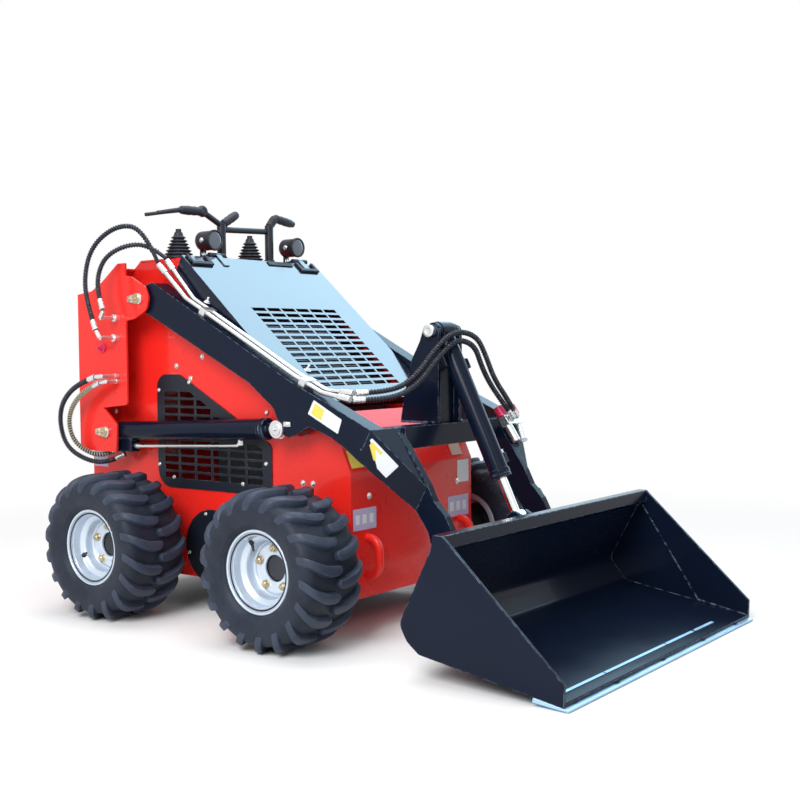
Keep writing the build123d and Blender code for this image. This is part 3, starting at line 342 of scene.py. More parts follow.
def add_world(scene):
    """A white world that lights surfaces less than it shows."""
    world = bpy.data.worlds.new("studio")
    scene.world = world
    world.use_nodes = True
    tree = world.node_tree
    extra = maths(tree, "MULTIPLY", seen_rays(tree), 1.0 - WORLD_LIGHT)
    feed(tree, tree.nodes["Background"], {"Color": WHITE, "Strength": maths(tree, "ADD", extra, WORLD_LIGHT)})


def add_lamp(scene, name, place, aim, size, power):
    """A square lamp that points at a spot."""
    lamp = bpy.data.lights.new(name, "AREA")
    lamp.energy = power
    lamp.size = size
    holder = bpy.data.objects.new(name, lamp)
    holder.location = place
    holder.rotation_euler = (Vector(aim) - Vector(place)).to_track_quat("-Z", "Y").to_euler()
    scene.collection.objects.link(holder)
    return holder


class LOADER_OT_stage(bpy.types.Operator):
    """Camera, pale floor and backdrop, and soft studio light"""
    bl_idname = "loader.stage"
    bl_label = "Stage"

    def execute(self, context):
        scene = context.scene
        add_camera(scene)
        grid = bmesh.new()
        bmesh.ops.create_grid(grid, x_segments=1, y_segments=1, size=FLOOR_HALF)
        floor = bpy.data.objects.new("floor", mesh_from("floor", grid))
        scene.collection.objects.link(floor)
        floor.data.materials.append(floor_material())
        add_world(scene)
        for name, (place, size, power) in LAMP_SETUP.items():
            add_lamp(scene, name, place, MACHINE_MIDDLE, size, power or scene.loader.key_power)
        card = add_lamp(scene, "sky card", CARD_PLACE, HOOD_MIDDLE, CARD_SIZE, CARD_POWER)
        card.data.color = SKY_BLUE
        card.visible_diffuse = False      # only the gloss of sloping paint shows it
        scene.view_settings.view_transform = "Standard"
        return {"FINISHED"}


class LOADER_OT_finishes(bpy.types.Operator):
    """Paint, rubber and metal finishes for the CAD frame"""
    bl_idname = "loader.finishes"
    bl_label = "Frame finishes"

    def execute(self, context):
        make_finishes(context.scene.loader)
        slots = {part["node"]: part["material_slot"] for part in frame["record"]["subparts"]}
        for node, piece in frame["nodes"].items():
            piece.data.materials.clear()
            piece.data.materials.append(FINISHES["hood_paint" if node == "hood" else slots[node]])
        return {"FINISHED"}


# the record's slot for each finish that isn't one of the record's own, made as a table that is not kept
dict.fromkeys(("lamp_lens", "hose_guard", "guard_pale", "label_white", "label_yellow",
                              "label_lilac", "label_tan"), "plastic")


# ---- modelling helpers: drawing positions are in millimetres, finished meshes in metres ----
MERGE = 0.00001
SMOOTH_BELOW, BEVEL_ABOVE = math.radians(32), math.radians(35)


def at(x, y, z):
    """A drawing position (mm from mid-wheelbase, on the ground) as a point of the row's frame."""
    return Vector((x * MM, y * MM + SHIFT, z * MM))


def cone(mesh, centre, axis, length, radius, end_radius, segments):
    """A round or many-sided bar about a centre; its radii are in millimetres and the rest in metres."""
    turn = axis.to_track_quat("Z", "Y").to_matrix().to_4x4()
    bmesh.ops.create_cone(mesh, cap_ends=True, segments=segments, radius1=radius * MM, radius2=end_radius * MM,
                          depth=length, matrix=Matrix.Translation(centre) @ turn)


def bar_between(mesh, start, end, radius, end_radius=None, segments=32):
    """A round or many-sided bar from one drawing position to another."""
    a, b = at(*start), at(*end)
    cone(mesh, (a + b) / 2, b - a, (b - a).length, radius, end_radius or radius, segments)


def bead(mesh, place, radius):
    """A small ball of weld metal at a drawing position."""
    bmesh.ops.create_icosphere(mesh, subdivisions=1, radius=radius * MM, matrix=Matrix.Translation(at(*place)))


def grown_from(mesh, face):
    """Extrude a face and return the new end's vertices."""
    grown = bmesh.ops.extrude_face_region(mesh, geom=[face])["geom"]
    return [item for item in grown if isinstance(item, bmesh.types.BMVert)]


def block(mesh, low, high):
    """A box between two drawing positions."""
    a, b = at(*low), at(*high)
    place = Matrix.Translation((a + b) / 2) @ Matrix.Diagonal((*(b - a), 1))
    bmesh.ops.create_cube(mesh, size=1.0, matrix=place)


def spin_outline(mesh, outline, centre, axis, steps, closed=False):
    """Spin a line of points, which may be a closed one, once round an axis."""
    points = [mesh.verts.new(point) for point in outline]
    edges = [mesh.edges.new(pair) for pair in zip(points, points[1:] + points[:1] if closed else points[1:])]
    bmesh.ops.spin(mesh, geom=points + edges, cent=centre, axis=axis, angle=math.tau, steps=steps,
                   use_merge=True, use_duplicate=False)
    bmesh.ops.remove_doubles(mesh, verts=mesh.verts, dist=MERGE)
    bmesh.ops.recalc_face_normals(mesh, faces=mesh.faces)


def lathe(mesh, profile, base, axis, steps):
    """Spin an outline of (along the axis, radius) millimetres about an axis from a drawing position."""
    direction = Vector(axis).normalized()
    side = direction.orthogonal().normalized()
    origin = at(*base)
    outline = [origin + direction * reach * MM + side * radius * MM for reach, radius in profile]
    spin_outline(mesh, outline, origin, direction, steps)


def tube_curve(name, kind, points, radius, sides):
    """A curve object through points in metres, with a round section."""
    curve = bpy.data.curves.new(name, "CURVE")
    curve.dimensions = "3D"
    line = curve.splines.new(kind)
    line.points.add(len(points) - 1)
    for knot, point in zip(line.points, points):
        knot.co = (*point, 1.0)
    curve.bevel_depth = radius
    curve.bevel_resolution = sides
    curve.use_fill_caps = True
    return bpy.data.objects.new(name, curve)


def spline(name, points, radius=0.0):
    """A smooth curve with drawing positions as its control points."""
    made = tube_curve(name, "NURBS", [at(*point) for point in points], radius * MM, 3)
    line = made.data.splines[0]
    line.order_u = 3
    line.use_endpoint_u = True
    line.resolution_u = 10
    return made


def mesh_of(curve_object):
    """The mesh of a curve object, which is then thrown away."""
    data = bpy.data.meshes.new_from_object(curve_object)
    curve = curve_object.data
    bpy.data.objects.remove(curve_object)
    bpy.data.curves.remove(curve)
    return data


def route(name, points):
    """Points along the smooth line of a NURBS route, in metres."""
    line = mesh_of(spline(name, points))
    found = [vertex.co.copy() for vertex in line.vertices]
    bpy.data.meshes.remove(line)
    return found


def piece(name, mesh, finish_name, body=None, bevel=0.0, segments=2, replaces=()):
    """Make a mesh or bmesh an object of this finish that rides on a body."""
    data = mesh_from(name, mesh) if isinstance(mesh, bmesh.types.BMesh) else mesh
    data.name = name
    data.shade_smooth()
    data.set_sharp_from_angle(angle=SMOOTH_BELOW)
    data.materials.clear()
    data.materials.append(FINISHES[finish_name])
    made = bpy.data.objects.new(name, data)
    bpy.context.scene.collection.objects.link(made)
    if bevel:
        edges = made.modifiers.new("edges", "BEVEL")
        edges.width = bevel * MM
        edges.segments = segments
        edges.limit_method = "ANGLE"
        edges.angle_limit = BEVEL_ABOVE
        edges.harden_normals = True
    if body:
        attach(made, body)
    if replaces:
        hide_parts(*replaces)
    return made


def build(name, finish_name, body, shapes, **settings):
    """A piece from a list of shapes, each given as a modelling helper and what it takes."""
    mesh = bmesh.new()
    for make, *given in shapes:
        make(mesh, *given)
    piece(name, mesh, finish_name, body, **settings)


# ---- hydraulic hoses ----
HOSE_DIAMETER = 13.0
# body at the far end (none where the whole hose rides on the lift arms), length in metres and control points
HOSES = {
    "hose_lift_rear": ("lift_barrel_right", 0.579, [
        (-465, 484, 745), (-466, 570, 725), (-462, 660, 665), (-452, 690, 590), (-435, 675, 508), (-405, 600, 464),
        (-372, 535, 461), (-350, 484, 490)]),
    "hose_lift_front": ("lift_barrel_right", 0.478, [
        (-448, 482, 727), (-448, 556, 704), (-445, 632, 650), (-438, 662, 588), (-425, 645, 523), (-401, 580, 486),
        (-372, 535, 489), (-352, 499, 513)]),
    "hose_arm_outer": ("lift_arms", 0.592, [
        (-465, 474, 898), (-465, 506, 960), (-465, 530, 1060), (-455, 502, 1166), (-428, 406, 1230),
        (-391, 322, 1216), (-359, 294, 1107)]),
    "hose_arm_inner": ("lift_arms", 0.388, [
        (-465, 438, 963), (-465, 462, 1018), (-462, 460, 1082), (-452, 428, 1134), (-414, 372, 1166),
        (-364, 326, 1164), (-334, 284, 1122)]),
    "hose_coupler_outer": (None, 0.801, [
        (-345, -493, 687), (-262, -566, 684), (-168, -590, 728), (-92, -604, 804), (-18, -618, 857), (58, -630, 838),
        (108, -620, 776), (168, -612, 718), (222, -624, 658), (276, -626, 612)]),
    "hose_coupler_inner": (None, 0.821, [
        (-320, -484, 705), (-238, -552, 705), (-160, -580, 754), (-98, -594, 824), (-30, -614, 880), (56, -637, 868),
        (106, -638, 806), (160, -632, 734), (236, -636, 664), (300, -626, 612)]),
}
GUARD_STEPS = 9               # straight pieces to a turn of the spiral guard
GUARD_INSET = 0.034
GUARD_SINK = 0.55             # the strand's middle stands this share of its radius off the hose
# crimped ferrule, its two ridges, the nut and the collar: start and stop in metres, radius and sides
HOSE_END = ((-0.001, 0.030, 9.0, 28), (0.004, 0.009, 9.7, 28), (0.013, 0.018, 9.7, 28), (-0.001, 0.0035, 11.0, 6),
            (0.026, 0.034, 8.2, 28))


def guard_points(line, inset, pitch, wire):
    """A helix round a line, from an inset past its start to the same before its end."""
    lengths = [0.0]
    for a, b in zip(line, line[1:]):
        lengths.append(lengths[-1] + (b - a).length)
    total = lengths[-1]
    count = int((total - 2 * inset) / pitch * GUARD_STEPS)
    tangent = (line[1] - line[0]).normalized()
    side = tangent.orthogonal().normalized()
    found, k = [], 0
    for i in range(count + 1):
        reach = inset + (total - 2 * inset) * i / count
        while k < len(line) - 2 and lengths[k + 1] < reach:
            k += 1
        share = (reach - lengths[k]) / max(lengths[k + 1] - lengths[k], 1e-9)
        tangent = (line[k + 1] - line[k]).normalized()
        side = (side - tangent * side.dot(tangent)).normalized()
        around = tangent.cross(side)
        angle = math.tau * i / GUARD_STEPS
        radius = HOSE_DIAMETER / 2 * MM + wire * GUARD_SINK
        centre = line[k].lerp(line[k + 1], share)
        found.append(centre + (side * math.cos(angle) + around * math.sin(angle)) * radius)
    return found


def hose_end(mesh, line, backwards=False):
    """Crimped ferrule and hexagonal nut at one end of a hose."""
    first, second = (line[-1], line[-3]) if backwards else (line[0], line[2])
    into = (second - first).normalized()
    for start, stop, radius, sides in HOSE_END:
        a, b = first + into * start, first + into * stop
        cone(mesh, (a + b) / 2, b - a, (b - a).length, radius, radius, sides)


class LOADER_OT_hoses(bpy.types.Operator):
    """Hydraulic hoses with spiral guards and crimped ends"""
    bl_idname = "loader.hoses"
    bl_label = "Hoses"

    def execute(self, context):
        settings = context.scene.loader
        ends = {body: bmesh.new() for body in ("chassis", "lift_arms", "lift_barrel_right")}
        for name, (far_body, length, points) in HOSES.items():
            line = route(name, points)
            near_body = "chassis" if far_body else "lift_arms"
            hose_end(ends[near_body], line)
            if far_body != "lift_arms":      # there the bare tube ends keep the swing of the arm clear
                hose_end(ends[far_body or "lift_arms"], line, True)
            rigid_on = None if far_body else near_body
            tube = mesh_of(spline(name, points, HOSE_DIAMETER / 2))
            hose = piece(name + "_tube", tube, "hose_rubber", rigid_on, replaces=(name,))
            turns = guard_points(line, GUARD_INSET, settings.guard_pitch, settings.guard_wire)
            wound = tube_curve(name + "_guard", "POLY", turns, settings.guard_wire, 1)
            guard = piece(name + "_guard", mesh_of(wound),
                          "guard_pale" if name == "hose_lift_front" else "hose_guard", rigid_on)
            if far_body:
                for part in (hose, guard):
                    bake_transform(part)
        for body, mesh in ends.items():
            piece("hose_ends_" + body, mesh, "zinc", body, bevel=0.6)
        return {"FINISHED"}


# ---- wheels: modelled about the X axis with the outer side at -X, then set on their axles ----
AXLES = {"front": -354.0, "rear": 354.0}
SIDES = {"right": -1, "left": 1}
WHEEL_X, WHEEL_Z = 503.5, 226.0
LUGS_A_SIDE, LUG_BEVEL, LUG_SHARP = 18, 2.2, math.radians(40)
LUG_FLARE, LUG_TIP = 4.5, 5      # how far a lug's root is widened, and its inner end drawn to a point
LUG_TIP_SHARE = 0.04             # only the first row of a lug's grid lies below this share
CARCASS = [(-88.5, 102.2), (-88.5, 117.6), (-93, 118.6), (-98, 122.5), (-102, 128), (-103.5, 128.6), (-105, 131),
           (-109, 141), (-112, 154), (-112.6, 168), (-111.5, 180), (-107, 191), (-99, 199), (-86, 204), (-64, 207),
           (-30, 208.4), (0, 208.8)]
# a lug from the tyre's middle to its sidewall: (across, radius) of its top and root, then its middle line round the
# tyre and its half width
LUG = [((6, 226.0), (6, 204), 21, 9.5), ((-10, 226.0), (-10, 204), 24, 12.5), ((-34, 226.0), (-34, 203), 22, 13.5),
       ((-58, 225.8), (-58, 202), 15, 13.0), ((-78, 224.0), (-77, 199), 6, 12.5), ((-94, 219.0), (-89, 194), -3, 12.0),
       ((-105, 210.0), (-99, 188), -11, 11.5), ((-111.5, 199.0), (-105, 181), -17, 11.0),
       ((-114.0, 186.0), (-109, 173), -21, 10.0), ((-112.5, 172.0), (-110, 166), -23, 8.0)]
RIM = [(-90.5, 117.4), (-93, 116.4), (-93.9, 113.6), (-92.6, 110.8), (-89, 109.4), (-86, 107.2), (-84.4, 103.2),
       (-82.6, 99.8), (-79, 98.4), (-61, 98), (-57, 96.2), (-53.5, 90.5), (-51, 84.4), (-47.5, 81.6), (-42, 80.8),
       (-29, 80.2), (-24, 78.8), (-21, 76), (-20, 73.4), (-24.5, 71.4), (-25, 69.8), (-20.8, 68), (-20, 66.6),
       (-20, 39.4), (-19, 37.6), (-13, 37), (-12, 39), (-12, 76), (-10, 88), (2, 96), (14, 97.6), (88, 97.6),
       (93, 99.4), (93.9, 112), (92.4, 116.4), (90, 117.4), (89, 115), (88.7, 101.8), (-60, 101.8), (-86.8, 101.8),
       (-88.3, 104), (-89, 115)]
NUTS, NUT_CIRCLE, NUT_FACE = 5, 57.15, -20.0
# washer, nut, its bevelled end and the stud: outer and inner end off the wheel's face, two radii and sides
NUT_STAGES = ((2.2, -0.5, 12.5, 12.5, 28), (11.5, 2.0, 10.6, 10.6, 6), (13.0, 11.0, 8.0, 9.0, 20),
              (17.5, 12.0, 5.6, 5.6, 20))
VALVE_ANGLES = {"front": 52.0, "rear": -24.0}
VALVE_STAGES = ((-4, 5, 8.5, 6.5), (5, 18, 4.6, 3.6), (18, 27, 3.4, 3.2))      # start, stop and two radii
VALVE_OUT, VALVE_IN, VALVE_FOOT = -0.35, -0.94, (-53, 90)      # its lean, and its foot (across, radius)


def spun_about_x(profile, steps):
    """Spin a closed outline of (across, radius) millimetres about the X axis at the origin."""
    mesh = bmesh.new()
    outline = [(across * MM, 0, radius * MM) for across, radius in profile]
    spin_outline(mesh, outline, (0, 0, 0), (1, 0, 0), steps, closed=True)
    return mesh


def along(values, share):
    """A value between the entries of an evenly spaced list."""
    reach = share * (len(values) - 1)
    k = min(int(reach), len(values) - 2)
    return values[k] + (values[k + 1] - values[k]) * (reach - k)


def lug_mesh():
    """One curved lug at the top of the tyre: a grid drawn up to a slab, then bent to its line and bevelled."""
    mesh = bmesh.new()
    bmesh.ops.create_grid(mesh, x_segments=12, y_segments=2, size=0.5)
    top = bmesh.ops.extrude_face_region(mesh, geom=list(mesh.faces))["geom"]
    for item in top:
        if isinstance(item, bmesh.types.BMVert):
            item.co.z = 1.0
    for vertex in mesh.verts:
        share, over, high = vertex.co.x + 0.5, vertex.co.y * 2, vertex.co.z
        step = 0 if high else 1
        across, radius = (along([entry[step][i] for entry in LUG], share) for i in (0, 1))
        line = along([entry[2] for entry in LUG], share)
        half = along([entry[3] for entry in LUG], share) + (0 if high else LUG_FLARE)
        if share < LUG_TIP_SHARE:
            across -= LUG_TIP * abs(over)
        turn = (line + over * half) / radius
        vertex.co = (across * MM, -radius * math.sin(turn) * MM, radius * math.cos(turn) * MM)
    bmesh.ops.recalc_face_normals(mesh, faces=mesh.faces)
    sharp = [edge for edge in mesh.edges if len(edge.link_faces) == 2 and edge.calc_face_angle() > LUG_SHARP]
    bmesh.ops.bevel(mesh, geom=sharp, offset=LUG_BEVEL * MM, offset_type="OFFSET", segments=2, profile=0.5,
                    affect="EDGES", material=-1)
    return mesh


def lugs_mesh():
    """Curved lugs by turns from each shoulder."""
    mesh = bmesh.new()
    single = mesh_from("lug", lug_mesh())
    for i in range(2 * LUGS_A_SIDE):
        before = len(mesh.verts)
        mesh.from_mesh(single)
        mesh.verts.ensure_lookup_table()
        added = mesh.verts[before:]
        if i % 2:
            bmesh.ops.scale(mesh, vec=(-1, 1, 1), verts=added)
            bmesh.ops.reverse_faces(mesh, faces=list({face for vertex in added for face in vertex.link_faces}))
        turn = Matrix.Rotation(math.pi * i / LUGS_A_SIDE, 3, "X")
        bmesh.ops.rotate(mesh, cent=(0, 0, 0), matrix=turn, verts=added)
    bpy.data.meshes.remove(single)
    return mesh


def nuts_mesh():
    """Hexagonal nuts on washers, with the ends of their studs."""
    mesh = bmesh.new()
    for i in range(NUTS):
        angle = math.tau * i / NUTS + math.pi / 2
        y, z = NUT_CIRCLE * math.cos(angle), NUT_CIRCLE * math.sin(angle)
        for start, stop, radius, end_radius, sides in NUT_STAGES:
            middle = Vector((2 * NUT_FACE - start - stop, 2 * y, 2 * z)) * 0.5 * MM
            bmesh.ops.create_cone(mesh, cap_ends=True, segments=sides, radius1=radius * MM,
                                  radius2=end_radius * MM, depth=(start - stop) * MM,
                                  matrix=Matrix.Translation(middle) @ Matrix.Rotation(math.pi / 2, 4, "Y"))
    return mesh


def valve_mesh(angle):
    """Rubber valve stem with its cap, in the slope of the rim's well."""
    mesh = bmesh.new()
    spread = math.radians(angle)
    out = Vector((VALVE_OUT, math.cos(spread) * VALVE_IN, math.sin(spread) * VALVE_IN))
    foot = Vector((VALVE_FOOT[0], math.cos(spread) * VALVE_FOOT[1], math.sin(spread) * VALVE_FOOT[1])) * MM
    for start, stop, wide, narrow in VALVE_STAGES:
        cone(mesh, foot + out * (start + stop) / 2 * MM, out, (stop - start) * MM, wide, narrow, 20)
    return mesh


def set_on_axle(mesh, end, side_name):
    """Move a wheel piece from the origin to its axle; the left-hand ones are mirrored."""
    side = SIDES[side_name]
    if side > 0:
        bmesh.ops.scale(mesh, vec=(-1, 1, 1), verts=mesh.verts)
        bmesh.ops.reverse_faces(mesh, faces=mesh.faces)
    bmesh.ops.translate(mesh, vec=at(side * WHEEL_X, AXLES[end], WHEEL_Z), verts=mesh.verts)
    return mesh


class LOADER_OT_wheels(bpy.types.Operator):
    """Tyres with curved lugs, pressed rims, nuts and valves"""
    bl_idname = "loader.wheels"
    bl_label = "Wheels"

    def execute(self, context):
        carcass = CARCASS + [(-across, radius) for across, radius in reversed(CARCASS[:-1])]
        for end in AXLES:
            for side_name in SIDES:
                wheel = f"{end}_{side_name}"
                for name, mesh, colour, bevel, replaces in (
                        ("carcass_", spun_about_x(carcass, 90), "tyre", 0.0, ("tyre_" + wheel,)),
                        ("lugs_", lugs_mesh(), "lug", 0.0, ()),
                        ("wheel_disc_", spun_about_x(RIM, 96), "rim_silver", 0.0, ("rim_" + wheel,)),
                        ("wheel_nuts_", nuts_mesh(), "brass", 0.7, ()),
                        ("valve_", valve_mesh(VALVE_ANGLES[end]), "rubber", 0.6, ())):
                    piece(name + wheel, set_on_axle(mesh, end, side_name), colour, "wheel_" + wheel, bevel,
                          replaces=replaces)
        return {"FINISHED"}


# ---- fittings on the frame ----
def bolt(mesh, place, normal, radius=6.5, height=4.0):
    """A hexagon head on a washer, standing on a surface."""
    out = Vector(normal).normalized()
    for low, high, wide, narrow, sides in ((0.0, height, radius, radius, 6),
                                           (height - 0.2, height + 0.9, radius * 0.8, radius * 0.6, 18),
                                           (0.0, 1.4, radius * 1.45, radius * 1.4, 24)):
        cone(mesh, at(*place) + out * (low + high) / 2 * MM, out, (high - low) * MM, wide, narrow, sides)


def button(mesh, place, normal, radius=7.0):
    """A domed screw head with a socket."""
    lathe(mesh, [(0, radius), (1.2, radius), (3.0, radius * 0.82), (3.9, radius * 0.5), (3.9, radius * 0.34),
                 (2.2, radius * 0.3), (2.2, 0.01)], place, normal, 18)


LABEL_SIDE = Vector((-0.6, -0.7, 0.4))      # plates and labels lie on faces that look this way


def plate_on(mesh, corners, thickness=0.5, lift=0.4, rounding=3.0):
    """A thin plate with rounded corners that lies on a flat surface."""
    points = [at(*corner) for corner in corners]
    normal = (points[1] - points[0]).cross(points[2] - points[0]).normalized()
    if normal.dot(LABEL_SIDE) < 0:
        normal = -normal
    start = [mesh.verts.new(point + normal * lift * MM) for point in points]
    raised = grown_from(mesh, mesh.faces.new(start))
    bmesh.ops.translate(mesh, vec=normal * thickness * MM, verts=raised)
    stand = [edge for edge in mesh.edges if (edge.verts[0] in raised) != (edge.verts[1] in raised)
             and (edge.verts[0] in start or edge.verts[1] in start)]
    bmesh.ops.bevel(mesh, geom=stand, offset=rounding * MM, offset_type="OFFSET", segments=4, profile=0.5,
                    affect="EDGES", material=-1)
    bmesh.ops.recalc_face_normals(mesh, faces=mesh.faces)


def across(x0, x1, top, foot):
    """Corners of a field between two sides, from the (y, z) of its top and of its foot."""
    return [(x0, *top), (x1, *top), (x1, *foot), (x0, *foot)]


def share_of(corners, low, high, inset):
    """The part of a four-cornered field between two shares of its length, drawn in from its long edges."""
    a, b, c, d = (Vector(corner) for corner in corners)
    return [tuple(a.lerp(b, length).lerp(d.lerp(c, length), width))
            for length, width in ((low, inset), (high, inset), (high, 1 - inset), (low, 1 - inset))]


SIDE_BOLTS = [(275, 779), (155, 809), (210, 739), (578, 627), (-265, 436), (-304, 436)]
PANEL_BOLTS = [(357, 701), (214, 728), (358, 460), (290, 421), (-20, 418), (-119, 485), (-124, 640)]
COVER_MIDDLE, COVER_REACH = (120, 210), 106
COVER_SCREWS, COVER_TURN = 4, 76
SIDE_FACE, PANEL_FACE, COVER_FACE, TOWER_FACE, ARM_FACE, NOSE_FACE = 306.0, 309.0, 310.0, 395.0, 380.0, -447
BOSS = 8.3                                  # a pin's boss stands this far off the tower's face
ARM_PIVOT, LIFT_BASE, LIFT_PIN = (352, 994), (524, 564), (-235, 598)
TILT_TOP, TILT_PIN_X, CYLINDER_X = (-555, 880), 72, 350.5
PIN_HEAD = [(0, 16.5), (2.2, 16.5), (3.2, 15), (3.2, 6), (2.2, 5.2), (2.2, 0.01)]
GREASE_NIPPLE = [(2, 4.2), (5, 4.2), (6, 2.6), (9, 2.4), (10.5, 3.4), (12, 2.2), (12.4, 0.01)]
ARM_PIN_HEAD = [(0, 18), (2.0, 18), (3.0, 16.5), (3.0, 6), (2.0, 5.2), (2.0, 0.01)]
SHORT_NIPPLE = [(2, 4.2), (6, 4.0), (7, 2.6), (10, 3.2), (11.5, 0.01)]
TILT_PIN_HEAD = [(0, 19), (3, 19), (4.2, 17), (4.2, 9), (2.8, 8), (2.8, 0.01)]
ISOLATOR = [(0, 15), (5, 15), (6, 13), (6, 9), (14, 8.4), (15, 7.4), (15, 0.01)]
CLAMP_X, CLAMP_REACH = -345.5, 17
CLAMPS = [(88, 976, (0, -0.47, 0.88)), (-323, 769, (0, -0.41, 0.91))]      # place down the arm and way out of it
NOSE_BOLTS = [(-223, 402), (225, 403)]
LOCK_BOLT_STEP = 31                         # from a tower pin to the bolt that keeps it


class LOADER_OT_fasteners(bpy.types.Operator):
    """Bolts, screws, pin heads and grease nipples"""
    bl_idname = "loader.fasteners"
    bl_label = "Fasteners"

    def execute(self, context):
        heads, screws, pins, arm_pins = bmesh.new(), bmesh.new(), bmesh.new(), bmesh.new()
        for side in SIDES.values():
            out = (side, 0, 0)
            for y, z in SIDE_BOLTS:
                bolt(heads, (side * SIDE_FACE, y, z), out, height=4.2)
            for y, z in PANEL_BOLTS:
                button(screws, (side * PANEL_FACE, y, z), out)
            for i in range(COVER_SCREWS):
                angle = math.radians(COVER_TURN + 360 / COVER_SCREWS * i)
                button(screws, (side * COVER_FACE, COVER_MIDDLE[0] + COVER_REACH * math.cos(angle),
                                COVER_MIDDLE[1] + COVER_REACH * math.sin(angle)), out, 6.5)
            for y, z in (ARM_PIVOT, LIFT_BASE):
                head = (side * (TOWER_FACE + BOSS), y, z)
                lathe(pins, PIN_HEAD, head, out, 40)
                lathe(pins, GREASE_NIPPLE, head, out, 14)
                bolt(pins, (head[0], y + LOCK_BOLT_STEP, z), out, 6.0)
            head = (side * (ARM_FACE + 8), *LIFT_PIN)
            lathe(arm_pins, ARM_PIN_HEAD, head, out, 40)
            lathe(arm_pins, SHORT_NIPPLE, head, out, 14)
            block(arm_pins, (side * (ARM_FACE + 0.3), -288, 607), (side * (ARM_FACE + 4), -262, 621))
            bolt(arm_pins, (side * (ARM_FACE + 4), -275, 614), out, 5.5, 3.6)
            lathe(arm_pins, TILT_PIN_HEAD, (side * TILT_PIN_X, *TILT_TOP), out, 40)
        for x, z in NOSE_BOLTS:
            bolt(heads, (x, NOSE_FACE, z), (0, -1, 0), 7.0, 4.6)
        piece("side_bolts", heads, "zinc", "chassis", bevel=0.5)
        piece("panel_screws", screws, "zinc", "chassis")
        piece("chassis_pin_heads", pins, "brass", "chassis", bevel=0.4)
        piece("arm_pin_heads", arm_pins, "zinc", "lift_arms", bevel=0.4)
        build("isolator", "cap_red", "chassis", [
            (lathe, ISOLATOR, (-TOWER_FACE - 0.3, 528, 839), (-1, 0, 0), 32),
            (block, (-TOWER_FACE - 27, 521, 836), (-TOWER_FACE - 14, 535, 842))], bevel=0.8)
        clamp_bolts = bmesh.new()
        for y, z, lean in CLAMPS:
            bolt(clamp_bolts, (CLAMP_X, y, z), lean, 7.5, 6.0)
            tip = (CLAMP_X, y + lean[1] * CLAMP_REACH, z + lean[2] * CLAMP_REACH)
            bar_between(clamp_bolts, (CLAMP_X, y, z), tip, 3.8, segments=16)
        piece("clamp_bolts", clamp_bolts, "zinc", "lift_arms", bevel=0.5)
        return {"FINISHED"}


ARM_LABEL = [(-380, -377, 686), (-380, -480, 633), (-380, -465, 593), (-380, -354, 646)]
TURNED_LABEL = [(-373, -581, 586), (-319, -631, 507), (-329, -594, 473), (-380, -544, 552)]
NOSE_LABELS = [across(-297, -191, (NOSE_FACE, 369), (NOSE_FACE, 306)),
               across(172, 288, (NOSE_FACE, 357), (NOSE_FACE, 290))]
NOSE_BEND = (-420, 537), (-442.5, 487)
BENT_LABEL, TAN_LABEL = across(-294, -234, *NOSE_BEND), across(204, 262, *NOSE_BEND)
SMALL_LABEL = across(226, 290, (NOSE_FACE, 470), (NOSE_FACE, 398))
FOOT_LABEL = [(-306, 622, 504), (-306, 696, 504), (-306, 696, 436), (-306, 622, 436)]
PRINT_THICKNESS, PRINT_LIFT = 0.5, 0.8      # of the blank fields on the labels
# each field's start and end as shares of its label's length
ARM_PRINTS, ARM_PRINT_INSET = [(ARM_LABEL, 0.08, 0.42), (TURNED_LABEL, 0.08, 0.46)], 0.14
NOSE_PRINTS, NOSE_PRINT_INSET = [(0.10, 0.28), (0.40, 0.58), (0.70, 0.88)], 0.28


class LOADER_OT_labels(bpy.types.Operator):
    """Blank labels on the arm, the nose and the side plate"""
    bl_idname = "loader.labels"
    bl_label = "Blank labels"

    def execute(self, context):
        for body, name, colour, fields in (
                ("lift_arms", "arm_labels", "label_white", [ARM_LABEL, TURNED_LABEL]),
                ("chassis", "nose_labels", "label_lilac", NOSE_LABELS + [FOOT_LABEL]),
                ("chassis", "bent_label", "label_yellow", [BENT_LABEL]),
                ("chassis", "tan_label", "label_tan", [TAN_LABEL]),
                ("chassis", "small_label", "label_white", [SMALL_LABEL])):
            build(name, colour, body, [(plate_on, field) for field in fields])
        build("label_fields", "label_yellow", "lift_arms", [
            (plate_on, share_of(field, low, high, ARM_PRINT_INSET), PRINT_THICKNESS, PRINT_LIFT, 1.5)
            for field, low, high in ARM_PRINTS])
        build("nose_label_fields", "label_white", "chassis", [
            (plate_on, share_of(field, low, high, NOSE_PRINT_INSET), PRINT_THICKNESS, PRINT_LIFT, 1.0)
            for field in NOSE_LABELS for low, high in NOSE_PRINTS])
        return {"FINISHED"}


CONTROL_ROW, DECK_Z = 300, 1125.3
BOOTS, LAMPS, LAMP_Z, POSTS = (-265, 60), (-160, 240), 1188, (-74, 156)
GRIP = [(0, 0.01), (0, 11), (2.5, 13.5), (9, 15), (20, 13.6), (31, 15.2), (43, 14.2), (55, 15.4), (68, 14.6),
        (82, 14), (90, 12), (93, 8), (94, 0.01)]
LEVER_KNOB = [(-9, 0.01), (-9, 15), (-3, 19), (5, 19), (12, 14), (13, 0.01)]
LAMP_RIM = [(-6, 32.6), (-4, 34.5), (2.5, 34.5), (4.2, 33), (4.2, 30), (1.5, 28.5), (1.5, 20)]
LAMP_BACK = [(0, 32.2), (7, 31), (14, 25), (18, 15), (19, 0.01)]
LAMP_LENS = [(1.2, 28.6), (2.4, 26), (3.6, 18), (4.2, 9), (4.4, 0.01)]
POST_COLLAR = [(0, 15.2), (0, 24), (5, 24), (7, 20), (16, 18.5), (18, 15.2)]
